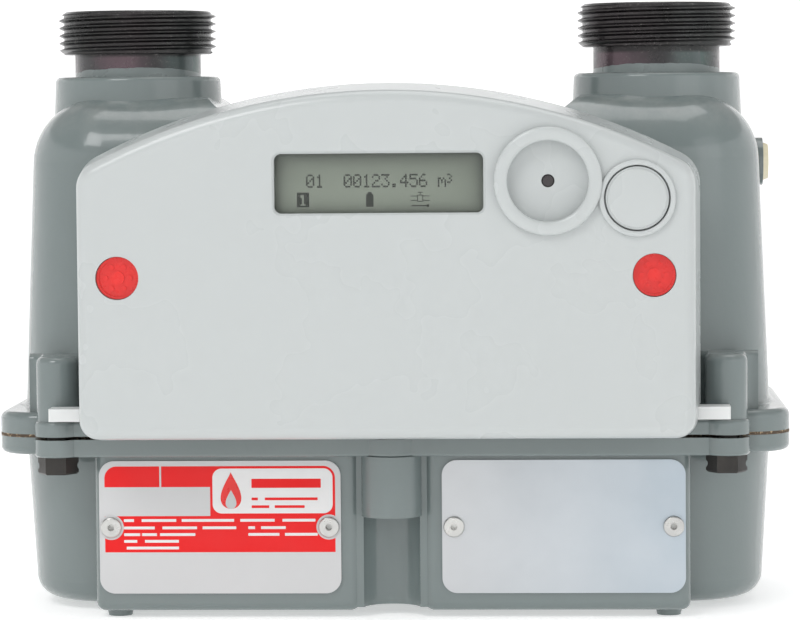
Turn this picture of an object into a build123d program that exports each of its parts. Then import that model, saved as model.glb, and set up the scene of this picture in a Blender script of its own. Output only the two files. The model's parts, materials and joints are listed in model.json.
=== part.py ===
from build123d import *
from math import cos, pi, radians, sin, sqrt, tan
import os

# Two-pipe ultrasonic gas meter: a die-cast case in two halves, bolted at a gasketed flange, with a
# white electronics cover on the front and a battery-driven shut-off valve inside.
# Millimetres. +X is to the right seen from the front, -Y is the front, +Z is up.
# The origin is on the surface the meter stands on, below the middle of its box.

# ---- Connections ----
connection_spacing = 152.4            # inlet to outlet, centre to centre
thread_radius = 23.0                  # crest of the swivel-nut thread
thread_pitch = 25.4 / 11.5
thread_depth = 1.4
neck_radius = 18.45
bore_radius = 15.0
thread_length = 12.5
outlet_proud = 1.0                    # the outlet ferrule is pressed in a little less deep

# ---- Case, heights ----
foot_height = 2.0
seam_z = 51.2                         # top face of the lower flange
gasket_thickness = 0.9
lower_flange_thickness = 5.0
upper_flange_thickness = 6.1
lug_thickness = 4.3
shoulder_z = 147.0                    # top of the domes below the connections
saddle_z = shoulder_z - 3.8           # top of the case between the connections
boss_top_z = shoulder_z + 6.2
thread_bottom_z = boss_top_z + 6.6
ferrule_top_z = thread_bottom_z + thread_length
ferrule_bottom_z = saddle_z - 10.2    # the ferrules reach down through the top wall

# ---- Case, plan ----
wall = 3.4
upper_width = connection_spacing + 64.2   # across the upper case where it leaves the flange
upper_half_depth = 41.0
upper_draft = 2.4                     # degrees
upper_corner = 26.0
lower_width = connection_spacing + 58.6   # across the tub at its floor
lower_half_depth = 37.0
lower_draft = 3.4
lower_corner = 24.0
floor_radius = 6.5
shoulder_radius = 19.0
connection_boss_radius = 24.15         # at its top
connection_boss_draft = 2.8
connection_boss_height = 27.0          # from its top down into the case
flange_width = connection_spacing + 72.6
flange_front = 47.0
flange_rear = 44.0
flange_corner = 12.0
flange_bar_front = 54.5               # flange edge between the front lugs
flange_bar_rear = 50.5

# ---- Flange bolts ----
lug_x = connection_spacing / 2 + 17.8
lug_front = 50.5
lug_rear = 46.5
lug_radius = 6.5
column_radius = 5.9
column_top_z = 74.5
column_edge_radius = 2.0
root_radius = 3.0                     # where a column's web meets the wall
root_depth = 2.4                      # how far the web's root is sunk into the wall
foot_radius = 2.0                     # where the upper wall meets the flange
bolt_radius = 3.0
bolt_clearance = 0.3
bolt_head_flats = 10.0
bolt_head_height = 4.9
centre_boss_radius = 8.5
centre_boss_reach = 48.5
centre_boss_rear = 46.5
centre_boss_bottom_z = 29.0

# ---- Name-plate pads ----
pad_reach = 50.0
pad_inner_x = 9.2
pad_outer_x = 84.0
plate_width = 68.3
plate_height = 37.6
plate_x = 48.4
plate_z = 26.0
plate_corner = 4.3
plate_thickness = 0.8
rivet_spacing = 61.6
rivet_head_radius = 2.95
rivet_radius = 1.5

# ---- Electronics cover ----
cover_reach = 76.0
cover_rim_reach = 56.0
cover_width = 168.6
cover_bottom_z = 53.4
cover_top_z = 148.3
cover_arc_radius = 174.0
cover_wall = 2.4
cover_draft = 6.5
cover_top_corner = 7.0
cover_bottom_corner = 5.0
cover_edge_radius = 3.4
window_x, window_z = -1.5, 123.2
window_width, window_height, window_corner = 57.1, 16.3, 1.9
port_x, port_z = 44.6, 123.5
port_radius = 11.0
ring_radius = 14.8
ring_proud = 1.5
button_x, button_z = 68.8, 118.7
button_radius = 8.65
button_gap = 0.35
button_travel = 1.2
collar_radius = 10.5
collar_proud = 0.8
plug_x, plug_z = 73.4, 97.7
plug_radius = 5.8
plug_clearance = 0.15

# ---- Electronics behind the cover ----
housing_reach = 43.0                  # rear face of the back housing
housing_wall = 2.4
board_reach = 66.0                    # front face of the main board
board_thickness = 1.6
cell_radius = 8.5
cell_length = 50.0

# ---- Measuring tube and valve ----
tube_z = 62.0
tube_radius = 18.0
tube_bore = 14.0
tube_left_x = 29.2 - connection_spacing / 2
riser_left_x = connection_spacing / 2 - 24.2
sound_path_x = -1.0
socket_reach = 36.0                   # from the tube's axis to the face of a transducer socket
transducer_radius = 6.0
transducer_tilt = 45.0
valve_ring_radius = 22.0
valve_seat_z = ferrule_bottom_z - 11.0
valve_seat_bore = 13.0
plunger_radius = 16.0
plunger_top_z = valve_seat_z - 10.0
plunger_travel = 7.6
seal_thickness = 1.6
screw_radius = 2.5
running_clearance = 0.08
gear_module = 0.8
gear_teeth = 30
pinion_teeth = 10
gear_thickness = 4.0
gear_z = plunger_top_z - 26.0
backlash = 0.25
motor_radius = 8.0

# ---- Derived places ----
connection_x = connection_spacing / 2
front_reach = cover_reach + ring_proud
rear_reach = centre_boss_rear + centre_boss_radius
ferrule_y = (front_reach - rear_reach) / 2     # both connections stand on this plane
floor_z = foot_height
lower_flange_z = seam_z - lower_flange_thickness
upper_flange_z = seam_z + gasket_thickness
upper_body_z = upper_flange_z + upper_flange_thickness
thread_root = thread_radius - thread_depth
thread_turns = thread_length / thread_pitch
window_face = cover_reach - cover_wall         # inner face of the cover's front wall
shelf_z = upper_body_z + 0.6
valve_x = -connection_x
motor_x = valve_x + gear_module * (gear_teeth + pinion_teeth) / 2 + backlash / 2


def facing_front(reach):
    """A plane facing forward, the given distance ahead of the connections."""
    return Plane(origin=(0, ferrule_y - reach, 0), x_dir=(1, 0, 0), z_dir=(0, -1, 0))


def facing_side(x):
    """A plane facing +X at the given place: its x is the depth, its y is the height."""
    return Plane(origin=(x, ferrule_y, 0), x_dir=(0, 1, 0), z_dir=(1, 0, 0))


def level(z, x=0.0):
    """A level plane centred between the front and back of the case."""
    return Plane.XY.offset(z).move(Location((x, ferrule_y, 0)))


def drafted_block(width, half_depth, corner, bottom_z, top_z, draft, top_radius, x=0.0):
    """A block with rounded corners that narrows upward and has a rounded top edge."""
    with BuildPart() as block:
        with BuildSketch(level(bottom_z, x)):
            RectangleRounded(width, 2 * half_depth, corner)
        extrude(amount=top_z - bottom_z, taper=draft)
        fillet(block.faces().sort_by(Axis.Z)[-1].edges(), top_radius)
    return block.part


def drafted_tub(width, half_depth, corner, bottom_z, top_z, draft, bottom_radius):
    """A block with rounded corners that widens upward and has a rounded bottom edge."""
    with BuildPart() as block:
        with BuildSketch(level(bottom_z)):
            RectangleRounded(width, 2 * half_depth, corner)
        extrude(amount=top_z - bottom_z, taper=-draft)
        fillet(block.faces().sort_by(Axis.Z)[0].edges(), bottom_radius)
    return block.part


def flange_slab(bottom_z, slab_thickness, bar_thickness, edge_radius, rounded_end):
    """One half of the flange: a broad slab, the bars between the lugs, and the lugs."""
    with BuildPart() as slab:
        with BuildSketch(level(bottom_z)):
            with Locations((0, (flange_rear - flange_front) / 2)):
                RectangleRounded(flange_width, flange_front + flange_rear, flange_corner)
        extrude(amount=slab_thickness)
        fillet(slab.faces().sort_by(Axis.Z)[rounded_end].edges(), edge_radius)
    with BuildPart() as bars:
        with BuildSketch(level(bottom_z)):
            with Locations((0, (flange_bar_rear - flange_bar_front) / 2)):
                Rectangle(2 * lug_x, flange_bar_front + flange_bar_rear)
            with Locations(*lug_points):
                Circle(lug_radius)
            with Locations((0, -centre_boss_reach), (0, centre_boss_rear)):
                Circle(centre_boss_radius)
        extrude(amount=bar_thickness)
        fillet(bars.faces().sort_by(Axis.Z)[rounded_end].edges(), edge_radius / 2)
    with BuildPart() as whole:
        add(slab.part)
        add(bars.part)
    return whole.part


def cover_face(reach, grow):
    """The cover's outline on a plane facing front, grown by the given amount."""
    half = cover_width / 2 + grow
    arc = cover_arc_radius + grow
    bottom, top = cover_bottom_z - grow, cover_top_z + grow
    side_top = top - arc + sqrt(arc ** 2 - half ** 2)
    with BuildSketch(facing_front(reach)) as face:
        with BuildLine():
            Polyline((-half, side_top), (-half, bottom), (half, bottom), (half, side_top))
            ThreePointArc((half, side_top), (0, top), (-half, side_top))
        make_face()
        fillet(face.vertices().group_by(Axis.Y)[-1], max(cover_top_corner + grow, 1.0))
        fillet(face.vertices().group_by(Axis.Y)[0], max(cover_bottom_corner + grow, 1.0))
    return face.sketch


def spur_gear(teeth, thickness, bore, origin):
    """A spur gear with narrow teeth, so that a pair runs with backlash at every angle."""
    pitch_radius = gear_module * teeth / 2
    root = pitch_radius - 1.25 * gear_module
    tip = pitch_radius + 0.8 * gear_module
    half_root = 0.33 * pi * gear_module
    half_pitch = 0.2 * pi * gear_module
    half_tip = 0.11 * pi * gear_module
    with BuildPart() as gear:
        with BuildSketch(Plane(origin)):
            Circle(root)
            with PolarLocations(0, teeth):
                Polygon((root - 0.3, -half_root), (pitch_radius, -half_pitch), (tip, -half_tip),
                        (tip, half_tip), (pitch_radius, half_pitch), (root - 0.3, half_root), align=None)
            if bore:
                Circle(bore, mode=Mode.SUBTRACT)
        extrude(amount=thickness)
    return gear.part


lug_points = [(side * lug_x, y) for side in (-1, 1) for y in (-lug_front, lug_rear)]
front_lugs = [(side * lug_x, -lug_front) for side in (-1, 1)]
rear_lugs = [(side * lug_x, lug_rear) for side in (-1, 1)]
centre_points = [(0, -centre_boss_reach), (0, centre_boss_rear)]
plate_points = [(-plate_x, plate_z), (plate_x, plate_z)]
rivet_points = [(x + side * rivet_spacing / 2, plate_z) for x, _ in plate_points for side in (-1, 1)]
plug_points = [(-plug_x, plug_z), (plug_x, plug_z)]
housing_screw_points = [(-58, 76), (58, 76), (-52, 128), (52, 128)]
board_screw_points = [(-58, 68), (58, 68), (-44, 104), (34, 104)]
feed_x, feed_z = -22.0, 100.0
feed_radius = 8.0
side_boss_x = upper_width / 2 - 1.1
side_plug_y, side_plug_z, side_plug_radius = 4.0, 127.0, 4.0
centre_head_radius, centre_head_height = 5.0, 3.6
shelf_front, shelf_thickness = 65.0, 2.0
tab_z, tab_depth, tab_end_x = shelf_z - 1.5, 8.0, lug_x + 0.5
window_pane = 1.5
conditioner_length = 7.0
lens_radius = 1.8
board_half, board_bottom_z, board_top_z = 74.0, 63.0, 127.0

os.makedirs("parts", exist_ok=True)

# ---- Lower case: a cast tub with name-plate pads on its front ----
with BuildPart() as pads:
    for side in (-1, 1):
        pad_middle = side * (pad_inner_x + pad_outer_x) / 2
        pad_depth = pad_reach - lower_half_depth + 8
        with BuildSketch(level(floor_z, pad_middle)):
            with Locations((0, -pad_reach + pad_depth / 2)):
                RectangleRounded(pad_outer_x - pad_inner_x, pad_depth, 3.0)
        extrude(amount=lower_flange_z - floor_z)
    fillet(pads.faces().group_by(Axis.Z)[0].edges(), 2.5)

with BuildPart() as lower_case:
    add(drafted_tub(lower_width, lower_half_depth, lower_corner, floor_z, lower_flange_z,
                    lower_draft, floor_radius))
    add(pads.part)
    # Bridge between the pads, hollowed by an upright groove
    bridge_depth = pad_reach - lower_half_depth
    with BuildSketch(level(floor_z + 1.0)):
        with Locations((0, -pad_reach + 1.0 + bridge_depth / 2)):
            Rectangle(2 * pad_inner_x + 4, bridge_depth)
        with Locations((0, -pad_reach - 0.5)):
            Circle(centre_boss_radius - 0.4, mode=Mode.SUBTRACT)
    extrude(amount=lower_flange_z - floor_z - 1.0)
    add(flange_slab(lower_flange_z, lower_flange_thickness, lower_flange_thickness, 1.8, 0))
    # Screw bosses hanging below the flange, at the middle of its front and rear edges
    with BuildSketch(level(centre_boss_bottom_z)):
        with Locations(*centre_points):
            Circle(centre_boss_radius)
    extrude(amount=lower_flange_z - centre_boss_bottom_z)
    # Feet cast below the four corners of the floor
    with BuildSketch(level(0)):
        with Locations((-78, -42), (78, -42), (-72, 26), (72, 26)):
            Circle(3.4)
    extrude(amount=foot_height + 1.5, taper=-12)
    # The hollow inside, with pockets behind the pads
    add(drafted_tub(lower_width - 2 * wall, lower_half_depth - wall, lower_corner - wall,
                    floor_z + wall, seam_z, lower_draft, floor_radius - 2.0), mode=Mode.SUBTRACT)
    with BuildSketch(level(floor_z + wall)):
        for side in (-1, 1):
            with Locations((side * (pad_inner_x + pad_outer_x) / 2, -pad_reach + wall + 7)):
                Rectangle(pad_outer_x - pad_inner_x - 2 * wall, 14)
    extrude(amount=seam_z - floor_z - wall, mode=Mode.SUBTRACT)
    # Bolt holes in the lugs, tapped holes in the middle bosses, rivet holes in the pads
    with BuildSketch(level(lower_flange_z)):
        with Locations(*lug_points):
            Circle(bolt_radius + bolt_clearance)
    extrude(amount=lower_flange_thickness, mode=Mode.SUBTRACT)
    with BuildSketch(level(centre_boss_bottom_z + 5)):
        with Locations(*centre_points):
            Circle(bolt_radius)
    extrude(amount=seam_z - centre_boss_bottom_z - 5, mode=Mode.SUBTRACT)
    with BuildSketch(facing_front(pad_reach)):
        with Locations(*rivet_points):
            Circle(rivet_radius)
    extrude(amount=-wall, mode=Mode.SUBTRACT)
    # Bosses on the floor that carry the tube bracket
    with BuildSketch(level(floor_z + wall - 1)):
        with Locations((-6, -24), (-6, 24)):
            Circle(5)
    extrude(amount=7)
    with BuildSketch(level(floor_z + wall)):
        with Locations((-6, -24), (-6, 24)):
            Circle(1.5)
    extrude(amount=6, mode=Mode.SUBTRACT)
lower_case.part.label = "lower_case"
export_step(lower_case.part, "parts/lower_case.step")

# ---- Case gasket: a fibre frame that shows as a thin brown line at the flange corners ----
with BuildPart() as case_gasket:
    opening_grow = (seam_z - floor_z) * tan(radians(lower_draft))
    with BuildSketch(level(seam_z)):
        with Locations((0, (flange_rear - flange_front) / 2)):
            RectangleRounded(flange_width, flange_front + flange_rear, flange_corner)
        RectangleRounded(lower_width - 2 * wall + 2 * opening_grow + 2,
                         2 * (lower_half_depth - wall + opening_grow) + 2,
                         lower_corner - wall + opening_grow, mode=Mode.SUBTRACT)
        with Locations(*centre_points, *rear_lugs):
            Circle(bolt_radius + bolt_clearance, mode=Mode.SUBTRACT)
    extrude(amount=gasket_thickness)
case_gasket.part.label = "case_gasket"
export_step(case_gasket.part, "parts/case_gasket.step")

# ---- Blind columns that stand on the lugs and take the bolts ----
# Each is tied to the wall by a web, which spreads into the wall through rounded roots
with BuildPart() as columns:
    for lug, toward in ((-lug_front, 1), (lug_rear, -1)):
        wall_face = -toward * (upper_half_depth - upper_flange_thickness * tan(radians(upper_draft)))
        with BuildSketch(level(upper_flange_z)) as column_plan:
            middle = lug + toward * (lug_radius - column_radius)
            with Locations((0, middle)):
                Circle(column_radius)
            with Locations((0, (middle + wall_face) / 2)):
                Rectangle(2 * column_radius, abs(middle - wall_face))
            with Locations((0, wall_face + toward * root_depth / 2)):
                Rectangle(2 * (column_radius + root_radius) + 1, root_depth)
            roots = column_plan.vertices().filter_by_position(Axis.Y, wall_face - 0.01, wall_face + 0.01)
            fillet([v for v in roots if abs(v.X) < column_radius + 0.01], root_radius)
        for side in (-1, 1):
            extrude(to_extrude=column_plan.sketch.moved(Location((side * lug_x, 0, 0))),
                    amount=column_top_z - upper_flange_z)
    top_edges = columns.faces().group_by(Axis.Z)[-1].edges()
    fillet([e for e in top_edges if abs(e.center().Y - ferrule_y) > upper_half_depth - 0.2],
           column_edge_radius)

# ---- Upper case: a cast bell with two connection bosses ----
with BuildPart() as upper_case:
    add(drafted_block(upper_width, upper_half_depth, upper_corner, upper_flange_z, shoulder_z,
                      upper_draft, shoulder_radius))
    # The top dips to a saddle between the connections
    saddle_x = connection_x - connection_boss_radius - 3
    with BuildSketch(Plane(origin=(0, ferrule_y + upper_half_depth, 0), x_dir=(1, 0, 0), z_dir=(0, -1, 0))):
        with BuildLine():
            Polyline((-saddle_x, saddle_z), (saddle_x, saddle_z), (saddle_x + 6, shoulder_z + 1),
                     (-saddle_x - 6, shoulder_z + 1), close=True)
        make_face()
    extrude(amount=2 * upper_half_depth, mode=Mode.SUBTRACT)
    boss_base_radius = connection_boss_radius + connection_boss_height * tan(radians(connection_boss_draft))
    with BuildSketch(level(boss_top_z - connection_boss_height)):
        with Locations((-connection_x, 0), (connection_x, 0)):
            Circle(boss_base_radius)
    extrude(amount=connection_boss_height, taper=connection_boss_draft)
    fillet(upper_case.faces().group_by(Axis.Z)[-1].edges(), 1.4)
    add(flange_slab(upper_flange_z, upper_flange_thickness, lug_thickness, 2.2, -1))
    wall_foot = upper_case.edges().filter_by_position(Axis.Z, upper_body_z - 0.01, upper_body_z + 0.01)
    wall_foot = wall_foot.filter_by_position(Axis.X, -upper_width / 2, upper_width / 2)
    fillet(wall_foot.filter_by_position(Axis.Y, ferrule_y - upper_half_depth,
                                        ferrule_y + upper_half_depth), foot_radius)
    add(columns.part)
    # The hollow inside
    add(drafted_block(upper_width - 2 * wall, upper_half_depth - wall, upper_corner - wall,
                      upper_flange_z, saddle_z - wall, upper_draft, shoulder_radius - wall - 2),
        mode=Mode.SUBTRACT)
    # Bores for the pressed-in ferrules
    with BuildSketch(level(saddle_z - wall - 8)):
        with Locations((-connection_x, 0), (connection_x, 0)):
            Circle(neck_radius)
    extrude(amount=boss_top_z - saddle_z + wall + 8, mode=Mode.SUBTRACT)
    # Bosses on the front wall for the back housing and the sealed feedthrough
    with BuildSketch(facing_front(housing_reach)):
        with Locations(*housing_screw_points):
            Circle(4.6)
        with Locations((feed_x, feed_z)):
            Circle(12.5)
    extrude(amount=-8.5)
    with BuildSketch(facing_front(housing_reach)):
        with Locations(*housing_screw_points):
            Circle(2.0)
    extrude(amount=-7.5, mode=Mode.SUBTRACT)
    with BuildSketch(facing_front(housing_reach)):
        with Locations((feed_x, feed_z)):
            Circle(feed_radius)
    extrude(amount=-10, mode=Mode.SUBTRACT)
    with BuildSketch(facing_front(housing_reach)):
        with Locations((feed_x, feed_z)):
            Circle(feed_radius + 1.8)
    extrude(amount=-1.8, mode=Mode.SUBTRACT)
    # Boss for the sensor plug, high on the right-hand wall
    with BuildSketch(facing_side(side_boss_x)):
        with Locations((side_plug_y, side_plug_z)):
            Circle(7.0)
    extrude(amount=-6.5)
    with BuildSketch(facing_side(side_boss_x)):
        with Locations((side_plug_y, side_plug_z)):
            Circle(side_plug_radius)
    extrude(amount=-6.5, mode=Mode.SUBTRACT)
    # Tapped holes up the columns and screw holes through the middle of the flange
    with BuildSketch(level(upper_flange_z)):
        with Locations(*lug_points):
            Circle(bolt_radius)
    extrude(amount=16, mode=Mode.SUBTRACT)
    with BuildSketch(level(upper_flange_z)):
        with Locations(*centre_points):
            Circle(bolt_radius + bolt_clearance)
    extrude(amount=upper_flange_thickness, mode=Mode.SUBTRACT)
    with BuildSketch(level(upper_flange_z + lug_thickness)):
        with Locations(*centre_points):
            Circle(centre_head_radius + bolt_clearance)
    extrude(amount=upper_flange_thickness, mode=Mode.SUBTRACT)
upper_case.part.label = "upper_case"
export_step(upper_case.part, "parts/upper_case.step")

# ---- Flange bolts: cross-drilled hexagon heads below the lugs ----
def lug_bolt(x, y):
    """One bolt, driven up through the lower lug into the column above."""
    with BuildPart() as bolt:
        with BuildSketch(level(lower_flange_z)):
            with Locations((x, y)):
                RegularPolygon(bolt_head_flats / 2, 6, major_radius=False)
        extrude(amount=-bolt_head_height)
        chamfer(bolt.faces().sort_by(Axis.Z)[0].edges(), 0.5)
        with BuildSketch(level(lower_flange_z)):
            with Locations((x, y)):
                Circle(bolt_radius)
        extrude(amount=lower_flange_thickness + gasket_thickness + 14)
        with BuildSketch(Plane(origin=(x + 2.6, ferrule_y + y, lower_flange_z - 2.6),
                               x_dir=(0, 1, 0), z_dir=(1, 0, 0))):
            Circle(0.9)
        extrude(amount=20, both=True, mode=Mode.SUBTRACT)
    return bolt.part


with BuildPart() as front_flange_bolts:
    for x, y in front_lugs:
        add(lug_bolt(x, y))
front_flange_bolts.part.label = "front_flange_bolts"
export_step(front_flange_bolts.part, "parts/front_flange_bolts.step")

with BuildPart() as rear_flange_bolts:
    for x, y in rear_lugs:
        add(lug_bolt(x, y))
rear_flange_bolts.part.label = "rear_flange_bolts"
export_step(rear_flange_bolts.part, "parts/rear_flange_bolts.step")

# ---- Middle screws: button heads on the upper flange ----
with BuildPart() as centre_flange_screws:
    head_z = upper_flange_z + lug_thickness
    with BuildSketch(level(head_z)):
        with Locations(*centre_points):
            Circle(centre_head_radius)
    extrude(amount=centre_head_height)
    fillet(centre_flange_screws.faces().group_by(Axis.Z)[-1].edges(), 1.6)
    with BuildSketch(level(head_z + centre_head_height)):
        with Locations(*centre_points):
            RegularPolygon(2.0, 6, major_radius=False)
    extrude(amount=-2.2, mode=Mode.SUBTRACT)
    with BuildSketch(level(head_z)):
        with Locations(*centre_points):
            Circle(bolt_radius)
    extrude(amount=-(lug_thickness + gasket_thickness + 14))
centre_flange_screws.part.label = "centre_flange_screws"
export_step(centre_flange_screws.part, "parts/centre_flange_screws.step")


# ---- Ferrules: steel spuds with a swivel-nut thread, pressed into the bosses ----
def threaded_head():
    """The threaded head standing on the origin: a helical ridge on a core, chamfered at both ends."""
    with BuildPart() as ridge:
        with BuildLine() as path:
            Helix(pitch=thread_pitch, height=thread_pitch * thread_turns, radius=thread_root)
        with BuildSketch(Plane(origin=path.line @ 0, x_dir=(1, 0, 0), z_dir=path.line % 0)):
            with BuildLine():
                Polyline((-0.6, -1.0), (thread_depth, -0.16), (thread_depth, 0.16), (-0.6, 1.0), close=True)
            make_face()
        sweep(is_frenet=True)
    with BuildPart() as head:
        with BuildSketch(Plane.XY.offset(-thread_pitch)):
            Circle(thread_root)
        extrude(amount=thread_length + 3 * thread_pitch)
        add(ridge.part)
        with BuildSketch(Plane.XZ):
            with BuildLine():
                Polyline((0, 0), (thread_root - 0.2, 0), (thread_radius + 1, 2.2),
                         (thread_radius + 1, thread_length - 1.9), (thread_root - 0.6, thread_length),
                         (0, thread_length), close=True)
            make_face()
        revolve(axis=Axis.Z, mode=Mode.INTERSECT)
    return head.part


def ferrule(x, lift):
    """A bored neck with a threaded head and a groove for its O-ring."""
    ring_z = boss_top_z - 8
    with BuildPart() as spud:
        with BuildSketch(Plane(origin=(x, ferrule_y, lift), x_dir=(1, 0, 0), z_dir=(0, -1, 0))):
            with BuildLine():
                Polyline((0, ferrule_bottom_z), (neck_radius, ferrule_bottom_z),
                         (neck_radius, ring_z - 1.3), (neck_radius - 2.5, ring_z - 1.3),
                         (neck_radius - 2.5, ring_z + 1.3), (neck_radius, ring_z + 1.3),
                         (neck_radius, thread_bottom_z), (0, thread_bottom_z), close=True)
            make_face()
        revolve(axis=Axis((x, ferrule_y, 0), (0, 0, 1)))
        add(threaded_head().moved(Location((x, ferrule_y, thread_bottom_z + lift))))
        with BuildSketch(Plane(origin=(x, ferrule_y, lift), x_dir=(1, 0, 0), z_dir=(0, -1, 0))):
            with BuildLine():
                Polyline((0, ferrule_bottom_z), (bore_radius, ferrule_bottom_z),
                         (bore_radius, ferrule_top_z - 0.8), (bore_radius + 0.8, ferrule_top_z),
                         (0, ferrule_top_z), close=True)
            make_face()
        revolve(axis=Axis((x, ferrule_y, 0), (0, 0, 1)), mode=Mode.SUBTRACT)
    return spud.part


with BuildPart() as inlet_ferrule:
    add(ferrule(-connection_x, 0))
inlet_ferrule.part.label = "inlet_ferrule"
export_step(inlet_ferrule.part, "parts/inlet_ferrule.step")

with BuildPart() as outlet_ferrule:
    add(ferrule(connection_x, outlet_proud))
outlet_ferrule.part.label = "outlet_ferrule"
export_step(outlet_ferrule.part, "parts/outlet_ferrule.step")

with BuildPart() as ferrule_o_rings:
    for x, lift in ((-connection_x, 0), (connection_x, outlet_proud)):
        with Locations((x, ferrule_y, boss_top_z - 8 + lift)):
            Torus(neck_radius - 1.25, 1.25)
ferrule_o_rings.part.label = "ferrule_o_rings"
export_step(ferrule_o_rings.part, "parts/ferrule_o_rings.step")

# ---- Inlet screen: a perforated disc in the inlet ferrule ----
with BuildPart() as inlet_screen:
    with BuildSketch(level(ferrule_bottom_z + 4, -connection_x)):
        Circle(bore_radius)
        with HexLocations(1.9, 7, 7):
            Circle(1.15, mode=Mode.SUBTRACT)
    extrude(amount=0.8)
inlet_screen.part.label = "inlet_screen"
export_step(inlet_screen.part, "parts/inlet_screen.step")

# ---- Cover: a white moulded shell with a shallow arched top ----
def raised_ring(x, z, outer, proud):
    """A softly rounded disc standing proud of the cover's face."""
    with BuildPart() as ring:
        with BuildSketch(facing_front(window_face)):
            with Locations((x, z)):
                Circle(outer)
        extrude(amount=cover_wall + proud)
        fillet(ring.faces().sort_by(Axis.Y)[0].edges(), proud * 0.8)
    return ring.part


rim_grow = (cover_reach - cover_rim_reach) * tan(radians(cover_draft))
with BuildPart() as front_cover:
    extrude(to_extrude=cover_face(cover_rim_reach, rim_grow), amount=cover_reach - cover_rim_reach,
            taper=cover_draft)
    fillet(front_cover.faces().sort_by(Axis.Y)[0].edges(), cover_edge_radius)
    add(raised_ring(port_x, port_z, ring_radius, ring_proud))
    add(raised_ring(button_x, button_z, collar_radius, collar_proud))
    extrude(to_extrude=cover_face(cover_rim_reach, rim_grow - cover_wall),
            amount=cover_reach - cover_wall - cover_rim_reach, taper=cover_draft, mode=Mode.SUBTRACT)
    # Tubes behind the two tamper plugs
    with BuildSketch(facing_front(board_reach + 0.4)):
        with Locations(*plug_points):
            Circle(plug_radius + plug_clearance + 1.6)
    extrude(amount=cover_reach - cover_wall - board_reach)
    with BuildSketch(facing_front(board_reach + 2.4)):
        with Locations(*plug_points):
            Circle(plug_radius + plug_clearance)
    extrude(amount=cover_reach - board_reach, mode=Mode.SUBTRACT)
    with BuildSketch(facing_front(board_reach)):
        with Locations(*plug_points):
            Circle(2.1)
    extrude(amount=3, mode=Mode.SUBTRACT)
    # Openings for the display, the optical port and the button
    with BuildSketch(facing_front(window_face)):
        with Locations((window_x, window_z)):
            RectangleRounded(window_width, window_height, window_corner)
    extrude(amount=cover_wall + 1, mode=Mode.SUBTRACT)
    with BuildSketch(facing_front(window_face)):
        with Locations((port_x, port_z)):
            Circle(port_radius)
        with Locations((button_x, button_z)):
            Circle(button_radius + button_gap)
    extrude(amount=cover_wall + ring_proud + 1, mode=Mode.SUBTRACT)
    chamfer(front_cover.edges().filter_by_position(Axis.Y, ferrule_y - cover_reach - 0.01,
                                                   ferrule_y - cover_reach + 0.01)
            .filter_by_position(Axis.X, window_x - window_width, window_x + window_width / 2 + 1)
            .filter_by_position(Axis.Z, window_z - window_height, window_z + window_height), 0.6)
    # The rim steps over the flange and leaves room for the shelf's two ends
    with BuildSketch(level(cover_bottom_z - 5)):
        with Locations((0, -(cover_rim_reach + shelf_front) / 2)):
            Rectangle(cover_width + 20, shelf_front - cover_rim_reach + 0.6)
    extrude(amount=shelf_z + shelf_thickness + 0.3 - cover_bottom_z + 5, mode=Mode.SUBTRACT)
front_cover.part.label = "front_cover"
export_step(front_cover.part, "parts/front_cover.step")

# ---- Back housing: a tray that closes the cover, with a shelf whose ends show beside it ----
with BuildPart() as back_housing:
    tray_grow = -cover_wall - 0.4
    extrude(to_extrude=cover_face(housing_reach, tray_grow), amount=cover_rim_reach - housing_reach + 4)
    extrude(to_extrude=cover_face(housing_reach + housing_wall, tray_grow - housing_wall),
            amount=cover_rim_reach - housing_reach + 4, mode=Mode.SUBTRACT)
    with BuildSketch(level(cover_bottom_z - 10)):
        with Locations((0, -housing_reach - 20)):
            Rectangle(cover_width + 10, 80)
    extrude(amount=shelf_z - cover_bottom_z + 10, mode=Mode.SUBTRACT)
    # Shelf above the flange, its ends reaching out to the lugs
    shelf_half = cover_width / 2 - cover_wall - 0.4
    with BuildSketch(level(shelf_z)):
        with Locations((0, -(housing_reach + shelf_front) / 2)):
            Rectangle(2 * shelf_half, shelf_front - housing_reach)
    extrude(amount=shelf_thickness)
    with BuildSketch(level(tab_z)):
        for side in (-1, 1):
            with Locations((side * (tab_end_x + shelf_half - 6) / 2, -shelf_front + tab_depth / 2)):
                RectangleRounded(tab_end_x - shelf_half + 6, tab_depth, 0.6)
    extrude(amount=shelf_z + shelf_thickness - tab_z)
    # Posts for the cover screws
    with BuildSketch(facing_front(housing_reach)):
        with Locations(*plug_points):
            Circle(4.6)
    extrude(amount=board_reach + 0.4 - housing_reach)
    with BuildSketch(facing_front(board_reach + 0.4)):
        with Locations(*plug_points):
            Circle(1.5)
    extrude(amount=-16, mode=Mode.SUBTRACT)
    # Posts for the main board
    with BuildSketch(facing_front(housing_reach)):
        with Locations(*board_screw_points):
            Circle(3.0)
    extrude(amount=board_reach - board_thickness - housing_reach)
    with BuildSketch(facing_front(board_reach)):
        with Locations(*board_screw_points):
            Circle(1.1)
    extrude(amount=-12, mode=Mode.SUBTRACT)
    # Screw holes, the feedthrough opening and a notch above the middle flange screw
    with BuildSketch(facing_front(housing_reach)):
        with Locations(*housing_screw_points):
            Circle(2.3)
        with Locations((feed_x, feed_z)):
            Circle(feed_radius + 3.4)
    extrude(amount=housing_wall, mode=Mode.SUBTRACT)
    with BuildSketch(level(shelf_z)):
        with Locations((0, -centre_boss_reach)):
            Circle(centre_head_radius + 1.5)
    extrude(amount=shelf_thickness, mode=Mode.SUBTRACT)
back_housing.part.label = "back_housing"
export_step(back_housing.part, "parts/back_housing.step")

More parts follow.
